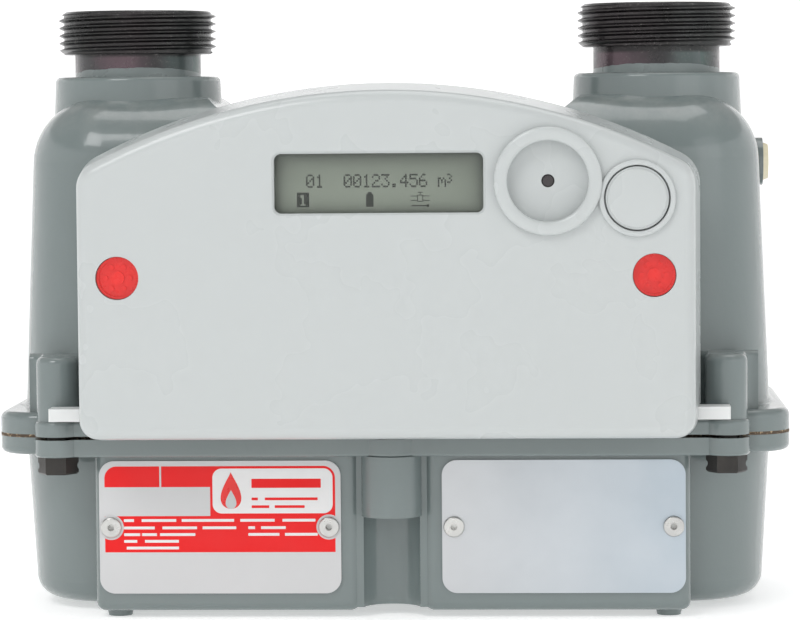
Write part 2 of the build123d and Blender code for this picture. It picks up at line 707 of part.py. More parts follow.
# ---- Cover seal: a soft frame between the cover's wall and the tray's rim ----
with BuildPart() as cover_seal:
    extrude(to_extrude=cover_face(cover_rim_reach + 4, tray_grow), amount=1.6)
    extrude(to_extrude=cover_face(cover_rim_reach + 4, tray_grow - housing_wall), amount=1.6,
            mode=Mode.SUBTRACT)
    with BuildSketch(level(cover_bottom_z - 10)):
        with Locations((0, -housing_reach - 20)):
            Rectangle(cover_width + 10, 80)
    extrude(amount=shelf_z + shelf_thickness - cover_bottom_z + 10, mode=Mode.SUBTRACT)
cover_seal.part.label = "cover_seal"
export_step(cover_seal.part, "parts/cover_seal.step")


def cross_head_screw(x, z, seat, head, shank, length):
    """A pan-head screw driven toward the back, its head standing on the given plane."""
    with BuildPart() as screw:
        with BuildSketch(facing_front(seat)):
            with Locations((x, z)):
                Circle(head)
        extrude(amount=0.75 * head)
        fillet(screw.faces().sort_by(Axis.Y)[0].edges(), 0.3 * head)
        with BuildSketch(facing_front(seat + 0.75 * head)):
            with Locations((x, z)):
                Rectangle(head, 0.3 * head)
                Rectangle(0.3 * head, head)
        extrude(amount=-0.4 * head, mode=Mode.SUBTRACT)
        with BuildSketch(facing_front(seat)):
            with Locations((x, z)):
                Circle(shank)
        extrude(amount=-length)
    return screw.part


with BuildPart() as cover_screws:
    for x, z in plug_points:
        add(cross_head_screw(x, z, board_reach + 2.4, 3.4, 1.5, 13))
cover_screws.part.label = "cover_screws"
export_step(cover_screws.part, "parts/cover_screws.step")

with BuildPart() as housing_screws:
    for x, z in housing_screw_points:
        add(cross_head_screw(x, z, housing_reach + housing_wall, 3.6, 2.0, 9))
housing_screws.part.label = "housing_screws"
export_step(housing_screws.part, "parts/housing_screws.step")

with BuildPart() as board_screws:
    for x, z in board_screw_points:
        add(cross_head_screw(x, z, board_reach, 2.2, 1.1, 11))
board_screws.part.label = "board_screws"
export_step(board_screws.part, "parts/board_screws.step")


# ---- Tamper plugs: red snap-in discs that cover the two cover screws ----
def tamper_plug(x):
    """A red disc with a raised pattern on its face and a snap skirt behind."""
    face = cover_reach - 1.2
    with BuildPart() as plug:
        with BuildSketch(facing_front(board_reach + 5.2)):
            with Locations((x, plug_z)):
                Circle(plug_radius)
        extrude(amount=face - board_reach - 5.2)
        with BuildSketch(facing_front(face)):
            with Locations((x, plug_z)):
                Circle(plug_radius - 0.7)
        extrude(amount=-0.7, mode=Mode.SUBTRACT)
        with BuildSketch(facing_front(face - 0.7)):
            with Locations((x, plug_z)):
                Circle(1.9)
        extrude(amount=0.5)
        with BuildSketch(facing_front(face - 0.7)):
            with Locations((x, plug_z)):
                with PolarLocations(3.35, 6):
                    Circle(0.75)
        extrude(amount=0.4)
        with BuildSketch(facing_front(board_reach + 5.2)):
            with Locations((x, plug_z)):
                Circle(plug_radius - 1.2)
        extrude(amount=2.2, mode=Mode.SUBTRACT)
    return plug.part


with BuildPart() as tamper_plug_left:
    add(tamper_plug(-plug_x))
tamper_plug_left.part.label = "tamper_plug_left"
export_step(tamper_plug_left.part, "parts/tamper_plug_left.step")

with BuildPart() as tamper_plug_right:
    add(tamper_plug(plug_x))
tamper_plug_right.part.label = "tamper_plug_right"
export_step(tamper_plug_right.part, "parts/tamper_plug_right.step")

# ---- Display: a clear pane behind the opening, and the module on the board ----
with BuildPart() as lcd_window:
    with BuildSketch(facing_front(window_face)):
        with Locations((window_x, window_z)):
            RectangleRounded(window_width + 4, window_height + 4, window_corner + 1)
    extrude(amount=-window_pane)
lcd_window.part.label = "lcd_window"
export_step(lcd_window.part, "parts/lcd_window.step")

with BuildPart() as lcd_module:
    with BuildSketch(facing_front(board_reach)):
        with Locations((window_x, window_z)):
            RectangleRounded(window_width + 8, window_height + 7, 1.0)
    extrude(amount=window_face - window_pane - board_reach)
lcd_module.part.label = "lcd_module"
export_step(lcd_module.part, "parts/lcd_module.step")

# ---- Optical port: a cup floor behind the ring, a steel plate for the probe's magnet, a lens ----
with BuildPart() as port_cup:
    with BuildSketch(facing_front(window_face)):
        with Locations((port_x, port_z)):
            Circle(port_radius + 1.4)
            Circle(lens_radius, mode=Mode.SUBTRACT)
    extrude(amount=-1.6)
port_cup.part.label = "port_cup"
export_step(port_cup.part, "parts/port_cup.step")

with BuildPart() as port_magnet_plate:
    with BuildSketch(facing_front(window_face - 1.6)):
        with Locations((port_x, port_z)):
            Circle(port_radius)
            Circle(lens_radius + 1.2, mode=Mode.SUBTRACT)
    extrude(amount=-1.2)
port_magnet_plate.part.label = "port_magnet_plate"
export_step(port_magnet_plate.part, "parts/port_magnet_plate.step")

with BuildPart() as port_lens:
    with BuildSketch(facing_front(board_reach)):
        with Locations((port_x, port_z)):
            Circle(lens_radius)
    extrude(amount=window_face - 0.5 - board_reach)
    fillet(port_lens.faces().sort_by(Axis.Y)[0].edges(), 0.5)
port_lens.part.label = "port_lens"
export_step(port_lens.part, "parts/port_lens.step")

# ---- Button: a sprung cap that closes a switch on the board ----
button_face = cover_reach + collar_proud
with BuildPart() as button_cap:
    with BuildSketch(facing_front(window_face - 1.0)):
        with Locations((button_x, button_z)):
            Circle(button_radius)
    extrude(amount=button_face - window_face + 1.0)
    fillet(button_cap.faces().sort_by(Axis.Y)[0].edges(), 0.5)
    with BuildSketch(facing_front(window_face - 0.25)):
        with Locations((button_x, button_z)):
            Circle(button_radius + 1.2)
    extrude(amount=-0.9)
    with BuildSketch(facing_front(window_face - 1.15)):
        with Locations((button_x, button_z)):
            Circle(1.6)
    extrude(amount=-0.5)
button_cap.part.label = "button_cap"
export_step(button_cap.part, "parts/button_cap.step")

with BuildPart() as tactile_switch:
    with BuildSketch(facing_front(board_reach)):
        with Locations((button_x, button_z)):
            Rectangle(6, 6)
    extrude(amount=3.4)
    with BuildSketch(facing_front(board_reach + 3.4)):
        with Locations((button_x, button_z)):
            Circle(1.5)
    extrude(amount=window_face - 1.65 - button_travel - 0.1 - board_reach - 3.4)
tactile_switch.part.label = "tactile_switch"
export_step(tactile_switch.part, "parts/tactile_switch.step")

with BuildPart() as button_spring:
    spring_length = window_face - 1.15 - board_reach - 0.5
    with BuildLine() as coil:
        Helix(pitch=spring_length / 4, height=spring_length - 0.02, radius=5.4)
    with BuildSketch(Plane(origin=coil.line @ 0, x_dir=(1, 0, 0), z_dir=coil.line % 0)):
        Circle(0.25)
    sweep(is_frenet=True)
button_spring.part = button_spring.part.moved(
    Location((button_x, ferrule_y - board_reach - 0.25, button_z), (90, 0, 0)))
button_spring.part.label = "button_spring"
export_step(button_spring.part, "parts/button_spring.step")

# ---- Main board with its shield can, cells in a cradle, antenna and sealed feedthrough ----
with BuildPart() as main_board:
    with BuildSketch(facing_front(board_reach)):
        with Locations((0, (board_bottom_z + board_top_z) / 2)):
            RectangleRounded(2 * board_half, board_top_z - board_bottom_z, 3)
        with Locations(*plug_points):
            Circle(plug_radius + 3.2, mode=Mode.SUBTRACT)
        with Locations(*board_screw_points):
            Circle(1.3, mode=Mode.SUBTRACT)
    extrude(amount=-board_thickness)
main_board.part.label = "main_board"
export_step(main_board.part, "parts/main_board.step")

with BuildPart() as radio_shield:
    with BuildSketch(facing_front(board_reach)):
        with Locations((-44, 84)):
            RectangleRounded(24, 18, 1)
    extrude(amount=2.6)
    with BuildSketch(facing_front(board_reach + 2.6)):
        with Locations((-44, 84)):
            with GridLocations(4, 4, 5, 3):
                Circle(0.5)
    extrude(amount=-0.3, mode=Mode.SUBTRACT)
radio_shield.part.label = "radio_shield"
export_step(radio_shield.part, "parts/radio_shield.step")

with BuildPart() as antenna:
    with BuildSketch(facing_front(board_reach + 5)):
        with Locations((-54, 118)):
            Rectangle(26, 5)
        with Locations((-47, 114.5)):
            Rectangle(12, 3)
    extrude(amount=-0.5)
    with BuildSketch(facing_front(board_reach)):
        with Locations((-66.75, 118), (-58, 118)):
            Rectangle(0.5, 5)
    extrude(amount=5)
antenna.part.label = "antenna"
export_step(antenna.part, "parts/antenna.step")

cell_reach = housing_reach + housing_wall + 1.0 + cell_radius
cell_x, cell_z = 22.0, 81.0
cell_points = [(cell_x, cell_z - cell_radius - 0.6), (cell_x, cell_z + cell_radius + 0.6)]
with BuildPart() as battery_cells:
    for x, z in cell_points:
        with BuildSketch(Plane(origin=(x - cell_length / 2, ferrule_y - cell_reach, z),
                               x_dir=(0, 1, 0), z_dir=(1, 0, 0))):
            Circle(cell_radius)
        extrude(amount=cell_length - 1.5)
        with BuildSketch(Plane(origin=(x + cell_length / 2, ferrule_y - cell_reach, z),
                               x_dir=(0, 1, 0), z_dir=(1, 0, 0))):
            Circle(2.6)
        extrude(amount=-1.5)
battery_cells.part.label = "battery_cells"
export_step(battery_cells.part, "parts/battery_cells.step")

with BuildPart() as battery_holder:
    with BuildSketch(facing_front(housing_reach + housing_wall)):
        with Locations((cell_x, cell_z)):
            RectangleRounded(cell_length + 4, 4 * cell_radius + 4.4, 1.5)
    extrude(amount=9)
    for x, z in cell_points:
        with BuildSketch(Plane(origin=(x - cell_length / 2 - 0.2, ferrule_y - cell_reach, z),
                               x_dir=(0, 1, 0), z_dir=(1, 0, 0))):
            Circle(cell_radius + 0.1)
        extrude(amount=cell_length + 0.4, mode=Mode.SUBTRACT)
battery_holder.part.label = "battery_holder"
export_step(battery_holder.part, "parts/battery_holder.step")

with BuildPart() as feedthrough_connector:
    with BuildSketch(facing_front(housing_reach)):
        with Locations((feed_x, feed_z)):
            Circle(feed_radius)
    extrude(amount=-12)
    with BuildSketch(facing_front(housing_reach)):
        with Locations((feed_x, feed_z)):
            Circle(feed_radius + 3)
    extrude(amount=2.2)
    with BuildSketch(facing_front(housing_reach - 17)):
        with Locations((feed_x, feed_z)):
            with GridLocations(3.2, 3.2, 3, 2):
                Circle(0.5)
    extrude(amount=27)
feedthrough_connector.part.label = "feedthrough_connector"
export_step(feedthrough_connector.part, "parts/feedthrough_connector.step")

with BuildPart() as feedthrough_o_ring:
    with Locations(Plane(origin=(feed_x, ferrule_y - housing_reach + 0.9, feed_z), z_dir=(0, -1, 0))):
        Torus(feed_radius + 0.9, 0.9)
feedthrough_o_ring.part.label = "feedthrough_o_ring"
export_step(feedthrough_o_ring.part, "parts/feedthrough_o_ring.step")

# ---- Name plates on the pads, each held by two rivets ----
def name_plate(x):
    """A thin plate with rounded corners and two rivet holes."""
    with BuildPart() as plate:
        with BuildSketch(facing_front(pad_reach)):
            with Locations((x, plate_z)):
                RectangleRounded(plate_width, plate_height, plate_corner)
            with Locations((x - rivet_spacing / 2, plate_z), (x + rivet_spacing / 2, plate_z)):
                Circle(rivet_radius, mode=Mode.SUBTRACT)
        extrude(amount=plate_thickness)
    return plate.part


with BuildPart() as rating_plate:
    add(name_plate(-plate_x))
rating_plate.part.label = "rating_plate"
export_step(rating_plate.part, "parts/rating_plate.step")

with BuildPart() as blank_plate:
    add(name_plate(plate_x))
blank_plate.part.label = "blank_plate"
export_step(blank_plate.part, "parts/blank_plate.step")

with BuildPart() as plate_rivets:
    with BuildSketch(facing_front(pad_reach + plate_thickness)):
        with Locations(*rivet_points):
            Circle(rivet_head_radius)
    extrude(amount=1.0)
    fillet(plate_rivets.faces().group_by(Axis.Y)[0].edges(), 0.55)
    with BuildSketch(facing_front(pad_reach + plate_thickness)):
        with Locations(*rivet_points):
            Circle(rivet_radius)
    extrude(amount=-(plate_thickness + wall))
    with BuildSketch(facing_front(pad_reach + plate_thickness + 1.0)):
        with Locations(*rivet_points):
            Circle(0.95)
    extrude(amount=-3.5, mode=Mode.SUBTRACT)
plate_rivets.part.label = "plate_rivets"
export_step(plate_rivets.part, "parts/plate_rivets.step")

# ---- Plug that closes the sensor boss on the right-hand wall ----
with BuildPart() as side_plug:
    with BuildSketch(facing_side(side_boss_x)):
        with Locations((side_plug_y, side_plug_z)):
            Circle(side_plug_radius)
    extrude(amount=-6)
    with BuildSketch(facing_side(side_boss_x)):
        with Locations((side_plug_y, side_plug_z)):
            Circle(side_plug_radius + 1.6)
    extrude(amount=1.6, taper=20)
side_plug.part.label = "side_plug"
export_step(side_plug.part, "parts/side_plug.step")

# ---- Measuring tube: gas from the case passes it from left to right on its way to the riser ----
def tube_plane(x):
    """A plane across the measuring tube, facing +X."""
    return Plane(origin=(x, ferrule_y, tube_z), x_dir=(0, 1, 0), z_dir=(1, 0, 0))


def transducer_plane(x, tilt):
    """A plane on the tube's axis whose normal leans from upright toward +X by the tilt."""
    lean = radians(tilt)
    return Plane(origin=(x, ferrule_y, tube_z), x_dir=(0, 1, 0), z_dir=(sin(lean), 0, cos(lean)))


# The sound path runs down from one transducer, off the bottom of the bore, and up to the other
transducer_places = [transducer_plane(sound_path_x - tube_bore, -transducer_tilt),
                     transducer_plane(sound_path_x + tube_bore, transducer_tilt)]
with BuildPart() as flow_tube:
    with BuildSketch(tube_plane(tube_left_x)):
        Circle(tube_radius)
    extrude(amount=riser_left_x - tube_left_x)
    with BuildSketch(tube_plane(riser_left_x)):
        Circle(tube_radius + 5)
    extrude(amount=-4)
    for place in transducer_places:
        with BuildSketch(place.offset(tube_bore - 2)):
            Circle(transducer_radius + 3)
        extrude(amount=socket_reach - tube_bore + 2)
    with BuildSketch(tube_plane(tube_left_x)):
        Circle(tube_bore)
    extrude(amount=riser_left_x - tube_left_x, mode=Mode.SUBTRACT)
    # A flared mouth seats the flow conditioner
    with BuildSketch(tube_plane(tube_left_x)):
        Circle(tube_bore + 2)
    extrude(amount=conditioner_length, mode=Mode.SUBTRACT)
    for place in transducer_places:
        with BuildSketch(place):
            Circle(transducer_radius)
        extrude(amount=socket_reach + 1, mode=Mode.SUBTRACT)
    # A groove in the end face holds the riser's O-ring
    with BuildSketch(tube_plane(riser_left_x)):
        Circle(tube_radius - 0.2)
        Circle(tube_radius - 2.6, mode=Mode.SUBTRACT)
    extrude(amount=-1.4, mode=Mode.SUBTRACT)
flow_tube.part.label = "flow_tube"
export_step(flow_tube.part, "parts/flow_tube.step")

with BuildPart() as flow_conditioner:
    with BuildSketch(tube_plane(tube_left_x)):
        Circle(tube_bore + 2)
        with HexLocations(2.4, 7, 7):
            Circle(1.75, mode=Mode.SUBTRACT)
    extrude(amount=conditioner_length)
flow_conditioner.part.label = "flow_conditioner"
export_step(flow_conditioner.part, "parts/flow_conditioner.step")


def transducer(place):
    """A can that fits its socket, with a wider collar outside and two pins."""
    with BuildPart() as can:
        with BuildSketch(place.offset(tube_bore + 5)):
            Circle(transducer_radius)
        extrude(amount=socket_reach - tube_bore - 2)
        with BuildSketch(place.offset(socket_reach + seal_thickness)):
            Circle(transducer_radius + 2)
        extrude(amount=2.5)
        with BuildSketch(place.offset(socket_reach + seal_thickness + 2.5)):
            with Locations((-2, 0), (2, 0)):
                Circle(0.5)
        extrude(amount=4)
    return can.part


with BuildPart() as transducer_upstream:
    add(transducer(transducer_places[0]))
transducer_upstream.part.label = "transducer_upstream"
export_step(transducer_upstream.part, "parts/transducer_upstream.step")

with BuildPart() as transducer_downstream:
    add(transducer(transducer_places[1]))
transducer_downstream.part.label = "transducer_downstream"
export_step(transducer_downstream.part, "parts/transducer_downstream.step")

with BuildPart() as transducer_seals:
    for place in transducer_places:
        with BuildSketch(place.offset(socket_reach)):
            Circle(transducer_radius + 2)
            Circle(transducer_radius, mode=Mode.SUBTRACT)
        extrude(amount=seal_thickness)
transducer_seals.part.label = "transducer_seals"
export_step(transducer_seals.part, "parts/transducer_seals.step")

# ---- Riser: an elbow that takes the measured gas up to the outlet ferrule ----
riser_top_z = ferrule_bottom_z + outlet_proud
with BuildPart() as outlet_riser:
    with BuildSketch(level(tube_z - tube_radius, connection_x)):
        Circle(tube_radius)
    extrude(amount=riser_top_z - tube_z + tube_radius)
    with BuildSketch(tube_plane(riser_left_x)):
        Circle(tube_radius)
    extrude(amount=connection_x - riser_left_x)
    with BuildSketch(tube_plane(riser_left_x)):
        Circle(tube_radius + 5)
    extrude(amount=4)
    with BuildSketch(level(tube_z - tube_bore, connection_x)):
        Circle(tube_bore)
    extrude(amount=riser_top_z - tube_z + tube_bore, mode=Mode.SUBTRACT)
    with BuildSketch(tube_plane(riser_left_x)):
        Circle(tube_bore)
    extrude(amount=connection_x - riser_left_x, mode=Mode.SUBTRACT)
outlet_riser.part.label = "outlet_riser"
export_step(outlet_riser.part, "parts/outlet_riser.step")

with BuildPart() as riser_o_ring:
    with BuildSketch(tube_plane(riser_left_x)):
        Circle(tube_radius - 0.2)
        Circle(tube_radius - 2.6, mode=Mode.SUBTRACT)
    extrude(amount=-1.4)
riser_o_ring.part.label = "riser_o_ring"
export_step(riser_o_ring.part, "parts/riser_o_ring.step")

# ---- Saddle that carries the measuring tube on the floor bosses ----
saddle_bottom_z = floor_z + wall + 6
with BuildPart() as tube_bracket:
    with BuildSketch(tube_plane(-12)):
        with Locations((0, (saddle_bottom_z - tube_z) / 2)):
            Rectangle(30, tube_z - saddle_bottom_z)
        with Locations((0, saddle_bottom_z - tube_z + 2)):
            Rectangle(60, 4)
        Circle(tube_radius, mode=Mode.SUBTRACT)
    extrude(amount=12)
    with BuildSketch(level(saddle_bottom_z)):
        with Locations((-6, -24), (-6, 24)):
            Circle(1.8)
    extrude(amount=4, mode=Mode.SUBTRACT)
tube_bracket.part.label = "tube_bracket"
export_step(tube_bracket.part, "parts/tube_bracket.step")

with BuildPart() as bracket_screws:
    with BuildSketch(level(saddle_bottom_z + 4)):
        with Locations((-6, -24), (-6, 24)):
            Circle(3.2)
    extrude(amount=2.4)
    with BuildSketch(level(saddle_bottom_z + 6.4)):
        with Locations((-6, -24), (-6, 24)):
            Rectangle(3.6, 0.8)
            Rectangle(0.8, 3.6)
    extrude(amount=-1.2, mode=Mode.SUBTRACT)
    with BuildSketch(level(saddle_bottom_z + 4)):
        with Locations((-6, -24), (-6, 24)):
            Circle(1.5)
    extrude(amount=-9.5)
bracket_screws.part.label = "bracket_screws"
export_step(bracket_screws.part, "parts/bracket_screws.step")

# ---- Shut-off valve below the inlet: a screw lifts a plunger against a seat ----
plate_z_upper, plate_z_lower, valve_plate = gear_z + 6.0, gear_z - 8.0, 3.0
guide_radius = 1.8
guide_distance = plunger_radius + 3.6
with BuildPart() as valve_body:
    with BuildSketch(level(valve_seat_z, valve_x)):
        Circle(valve_ring_radius)
        Circle(valve_seat_bore, mode=Mode.SUBTRACT)
    extrude(amount=ferrule_bottom_z - valve_seat_z)
    with BuildSketch(level(plate_z_upper, valve_x)):
        with PolarLocations(guide_distance, 3, 90):
            Circle(guide_radius)
    extrude(amount=valve_seat_z - plate_z_upper)
    with BuildSketch(level(plate_z_upper, valve_x)):
        Circle(valve_ring_radius)
        Circle(screw_radius + running_clearance, mode=Mode.SUBTRACT)
    extrude(amount=valve_plate)
    with BuildSketch(level(plate_z_lower, valve_x)):
        Circle(valve_ring_radius)
        with Locations((motor_x - valve_x, 0)):
            Circle(motor_radius + 2)
        Circle(screw_radius + running_clearance, mode=Mode.SUBTRACT)
        with Locations((motor_x - valve_x, 0)):
            Circle(1.0 + running_clearance, mode=Mode.SUBTRACT)
    extrude(amount=valve_plate)
    with BuildSketch(level(plate_z_lower, valve_x)):
        with Locations((0, -18), (0, 18), (-18, 0)):
            Circle(2.2)
    extrude(amount=plate_z_upper - plate_z_lower)
valve_body.part.label = "valve_body"
export_step(valve_body.part, "parts/valve_body.step")

with BuildPart() as valve_plunger:
    with BuildSketch(level(plunger_top_z - 3, valve_x)):
        Circle(plunger_radius)
        with Locations((0, guide_distance)):
            Circle(guide_radius + 2)
        with Locations((0, guide_distance - 3)):
            Rectangle(5, 6)
        with Locations((0, guide_distance)):
            Circle(guide_radius + running_clearance, mode=Mode.SUBTRACT)
    extrude(amount=3)
    with BuildSketch(level(plunger_top_z - 12, valve_x)):
        Circle(5)
    extrude(amount=10)
    with BuildSketch(level(plunger_top_z - 12, valve_x)):
        Circle(screw_radius + running_clearance)
    extrude(amount=11, mode=Mode.SUBTRACT)
valve_plunger.part.label = "valve_plunger"
export_step(valve_plunger.part, "parts/valve_plunger.step")

with BuildPart() as valve_seal:
    with BuildSketch(level(plunger_top_z, valve_x)):
        Circle(plunger_radius)
        Circle(valve_seat_bore - 3, mode=Mode.SUBTRACT)
    extrude(amount=seal_thickness)
valve_seal.part.label = "valve_seal"
export_step(valve_seal.part, "parts/valve_seal.step")

with BuildPart() as valve_screw:
    add(spur_gear(gear_teeth, gear_thickness, 0, (valve_x, ferrule_y, gear_z)))
    with BuildSketch(level(plate_z_lower, valve_x)):
        Circle(screw_radius)
    extrude(amount=plunger_top_z - 2 - plate_z_lower)
valve_screw.part.label = "valve_screw"
export_step(valve_screw.part, "parts/valve_screw.step")

pinion_turn = 0.0 if pinion_teeth % 2 else 180 / pinion_teeth
with BuildPart() as motor_pinion:
    add(spur_gear(pinion_teeth, gear_thickness, 0, (0, 0, gear_z)).rotate(Axis.Z, pinion_turn)
        .moved(Location((motor_x, ferrule_y, 0))))
    with BuildSketch(level(plate_z_lower, motor_x)):
        Circle(1.0)
    extrude(amount=gear_z - plate_z_lower)
motor_pinion.part.label = "motor_pinion"
export_step(motor_pinion.part, "parts/motor_pinion.step")

with BuildPart() as valve_motor:
    with BuildSketch(level(plate_z_lower, motor_x)):
        Circle(motor_radius)
    extrude(amount=-14)
    with BuildSketch(level(plate_z_lower - 14, motor_x)):
        Circle(3)
    extrude(amount=-1.5)
valve_motor.part.label = "valve_motor"
export_step(valve_motor.part, "parts/valve_motor.step")

# ---- Pressure and temperature probe, screwed in from behind the side plug ----
with BuildPart() as gas_probe:
    with BuildSketch(facing_side(side_boss_x - 6)):
        with Locations((side_plug_y, side_plug_z)):
            Circle(2.2)
    extrude(amount=-6)
gas_probe.part.label = "gas_probe"
export_step(gas_probe.part, "parts/gas_probe.step")

# ---- Harness: two leads from the feedthrough to the transducers, inside the case ----
def harness_lead(pin_x, place):
    """One lead: back from the feedthrough, over the tube, then down onto a transducer's pins."""
    start = Vector(pin_x, ferrule_y - housing_reach + 17, feed_z)
    pins = place.offset(socket_reach + seal_thickness + 6.5)
    with BuildPart() as lead:
        with BuildLine() as route:
            FilletPolyline(start, start + Vector(0, 12, 0), pins.origin + pins.z_dir * 16, pins.origin,
                           radius=5)
        with BuildSketch(Plane(origin=route.line @ 0, z_dir=route.line % 0)):
            Circle(0.8)
        sweep()
    return lead.part


with BuildPart() as sensor_harness:
    add(harness_lead(feed_x - 3.2, transducer_places[0]))
    add(harness_lead(feed_x + 3.2, transducer_places[1]))
sensor_harness.part.label = "sensor_harness"
export_step(sensor_harness.part, "parts/sensor_harness.step")
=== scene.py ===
"""Finishes and printed detail for a two-pipe gas meter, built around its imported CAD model.

The cast case, the connections, the cover and every inner piece keep their CAD shape and get a
procedural finish here. This script adds what sits on them: the display panel with its figures and
symbols, the soft rings and the crowned button on the cover, the rating plate's printed fields and gas
symbol, and the small parts on the board.
Metres, +X to the right seen from the front, -Y the front, +Z up.
"""

import json
import logging
import math
from dataclasses import dataclass, field
from enum import Enum

import bmesh
import bpy
from mathutils import Matrix, Vector

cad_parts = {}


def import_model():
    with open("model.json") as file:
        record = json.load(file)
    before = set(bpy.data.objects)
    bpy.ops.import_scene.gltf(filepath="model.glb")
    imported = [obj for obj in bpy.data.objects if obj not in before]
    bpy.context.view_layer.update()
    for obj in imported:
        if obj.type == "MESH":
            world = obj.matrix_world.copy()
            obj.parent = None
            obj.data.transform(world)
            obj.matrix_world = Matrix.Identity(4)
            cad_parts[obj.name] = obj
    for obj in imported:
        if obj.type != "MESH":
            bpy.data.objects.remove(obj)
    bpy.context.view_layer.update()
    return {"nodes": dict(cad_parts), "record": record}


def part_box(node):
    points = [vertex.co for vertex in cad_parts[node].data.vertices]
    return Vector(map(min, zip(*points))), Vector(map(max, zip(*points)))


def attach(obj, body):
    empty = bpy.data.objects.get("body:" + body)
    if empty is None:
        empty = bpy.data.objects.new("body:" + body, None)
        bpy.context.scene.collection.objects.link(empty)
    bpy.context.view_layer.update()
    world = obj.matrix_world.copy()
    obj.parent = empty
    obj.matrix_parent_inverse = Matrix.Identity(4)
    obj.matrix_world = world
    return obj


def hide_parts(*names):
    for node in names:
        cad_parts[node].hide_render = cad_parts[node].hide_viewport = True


LOG = logging.getLogger("gas_meter")
MM = 0.001

Colour = tuple[float, float, float]
Point = tuple[float, float, float]


# ---- Shader building ----------------------------------------------------------------------------


class NodeBench:
    """A small wrapper that adds and joins nodes in one node tree."""

    def __init__(self, tree: bpy.types.NodeTree) -> None:
        """Keeps the tree that the nodes go in.

        Args:
            tree: The shader node tree of a material or of a group.
        """
        self.tree = tree

    def add(self, kind: str, **settings: object) -> bpy.types.Node:
        """Adds one node.

        Args:
            kind: The node's type name, such as "ShaderNodeMath".
            **settings: Properties of the node to set.

        Returns:
            The new node.
        """
        node = self.tree.nodes.new(kind)
        for name, value in settings.items():
            setattr(node, name, value)
        return node

    def join(self, source: object, target: object) -> None:
        """Feeds a socket, or sets it when the source is a plain value.

        Args:
            source: An output socket, or a number, colour or vector.
            target: The input socket.
        """
        if isinstance(source, bpy.types.NodeSocket):
            self.tree.links.new(source, target)
        else:
            target.default_value = source

    def maths(self, operation: str, first: object, second: object = 0.0, clamp: bool = False) -> object:
        """Adds a Math node.

        Args:
            operation: The name of the operation.
            first: The first socket or number.
            second: The second socket or number.
            clamp: Whether the result is held between 0 and 1.

        Returns:
            The result's socket.
        """
        node = self.add("ShaderNodeMath", operation=operation, use_clamp=clamp)
        self.join(first, node.inputs[0])
        self.join(second, node.inputs[1])
        return node.outputs[0]

    def blend(self, factor: object, first: object, second: object) -> object:
        """Mixes two colours.

        Args:
            factor: Socket or number, 0 for the first colour and 1 for the second.
            first: Socket or RGBA colour.
            second: Socket or RGBA colour.

        Returns:
            The mixed colour's socket.
        """
        node = self.add("ShaderNodeMix", data_type="RGBA")
        self.join(factor, node.inputs["Factor"])
        self.join(first, node.inputs[6])
        self.join(second, node.inputs[7])
        return node.outputs[2]

    def remap(self, value: object, low: float, high: float, to_low: float, to_high: float,
              soft: bool = False) -> object:
        """Maps a value from one range to another, held at the ends.

        Args:
            value: The socket to map.
            low: Start of the incoming range.
            high: End of the incoming range.
            to_low: Result at the start.
            to_high: Result at the end.
            soft: Whether the ends are eased.

        Returns:
            The result's socket.
        """
        node = self.add("ShaderNodeMapRange", interpolation_type="SMOOTHSTEP" if soft else "LINEAR")
        self.join(value, node.inputs["Value"])
        for name, number in (("From Min", low), ("From Max", high),
                             ("To Min", to_low), ("To Max", to_high)):
            node.inputs[name].default_value = number
        return node.outputs[0]

    def noise(self, vector: object, scale: object, detail: float, roughness: float = 0.5) -> object:
        """Adds a noise texture.

        Args:
            vector: Socket with the place.
            scale: Socket or number, waves per metre.
            detail: Octaves.
            roughness: Weight of the finer octaves.

        Returns:
            The socket with the value from 0 to 1.
        """
        node = self.add("ShaderNodeTexNoise")
        self.join(vector, node.inputs["Vector"])
        self.join(scale, node.inputs["Scale"])
        node.inputs["Detail"].default_value = detail
        node.inputs["Roughness"].default_value = roughness
        return node.outputs[0]

    def bump(self, height: object, strength: float, depth: float) -> object:
        """Adds fine relief.

        Args:
            height: Socket with the height.
            strength: Share of the relief that shows.
            depth: Depth of the relief in metres.

        Returns:
            The socket with the tilted normal.
        """
        node = self.add("ShaderNodeBump")
        node.inputs["Strength"].default_value = strength
        node.inputs["Distance"].default_value = depth
        self.join(height, node.inputs["Height"])
        return node.outputs[0]

    def stretched(self, vector: object, share: Point) -> object:
        """Scales a place along each axis, so that a pattern on it is drawn out.

        Args:
            vector: Socket with the place.
            share: Scale along X, Y and Z.

        Returns:
            The scaled place's socket.
        """
        node = self.add("ShaderNodeMapping")
        self.join(vector, node.inputs["Vector"])
        node.inputs["Scale"].default_value = share
        return node.outputs[0]

    def place(self) -> object:
        """Returns the socket with the place on the object, in metres."""
        return self.add("ShaderNodeTexCoord").outputs["Object"]

    def split(self, vector: object) -> tuple[object, object, object]:
        """Splits a place into its parts.

        Args:
            vector: Socket with the place.

        Returns:
            The X, Y and Z sockets.
        """
        node = self.add("ShaderNodeSeparateXYZ")
        self.join(vector, node.inputs[0])
        return node.outputs[0], node.outputs[1], node.outputs[2]


@dataclass(frozen=True)
class GroupSocket:
    """One named socket of a shader node group."""

    name: str
    kind: str
    value: object = None
    is_output: bool = False


def new_group(name: str, sockets: tuple[GroupSocket, ...]) -> tuple[NodeBench, object, object]:
    """Makes an empty shader node group with named sockets.

    Args:
        name: The group's name.
        sockets: Its sockets, in order.

    Returns:
        The bench of the group, its input node and its output node.
    """
    tree = bpy.data.node_groups.new(name, "ShaderNodeTree")
    for socket in sockets:
        made = tree.interface.new_socket(
            socket.name, in_out="OUTPUT" if socket.is_output else "INPUT", socket_type=socket.kind)
        if socket.value is not None:
            made.default_value = socket.value
    bench = NodeBench(tree)
    return bench, bench.add("NodeGroupInput"), bench.add("NodeGroupOutput")


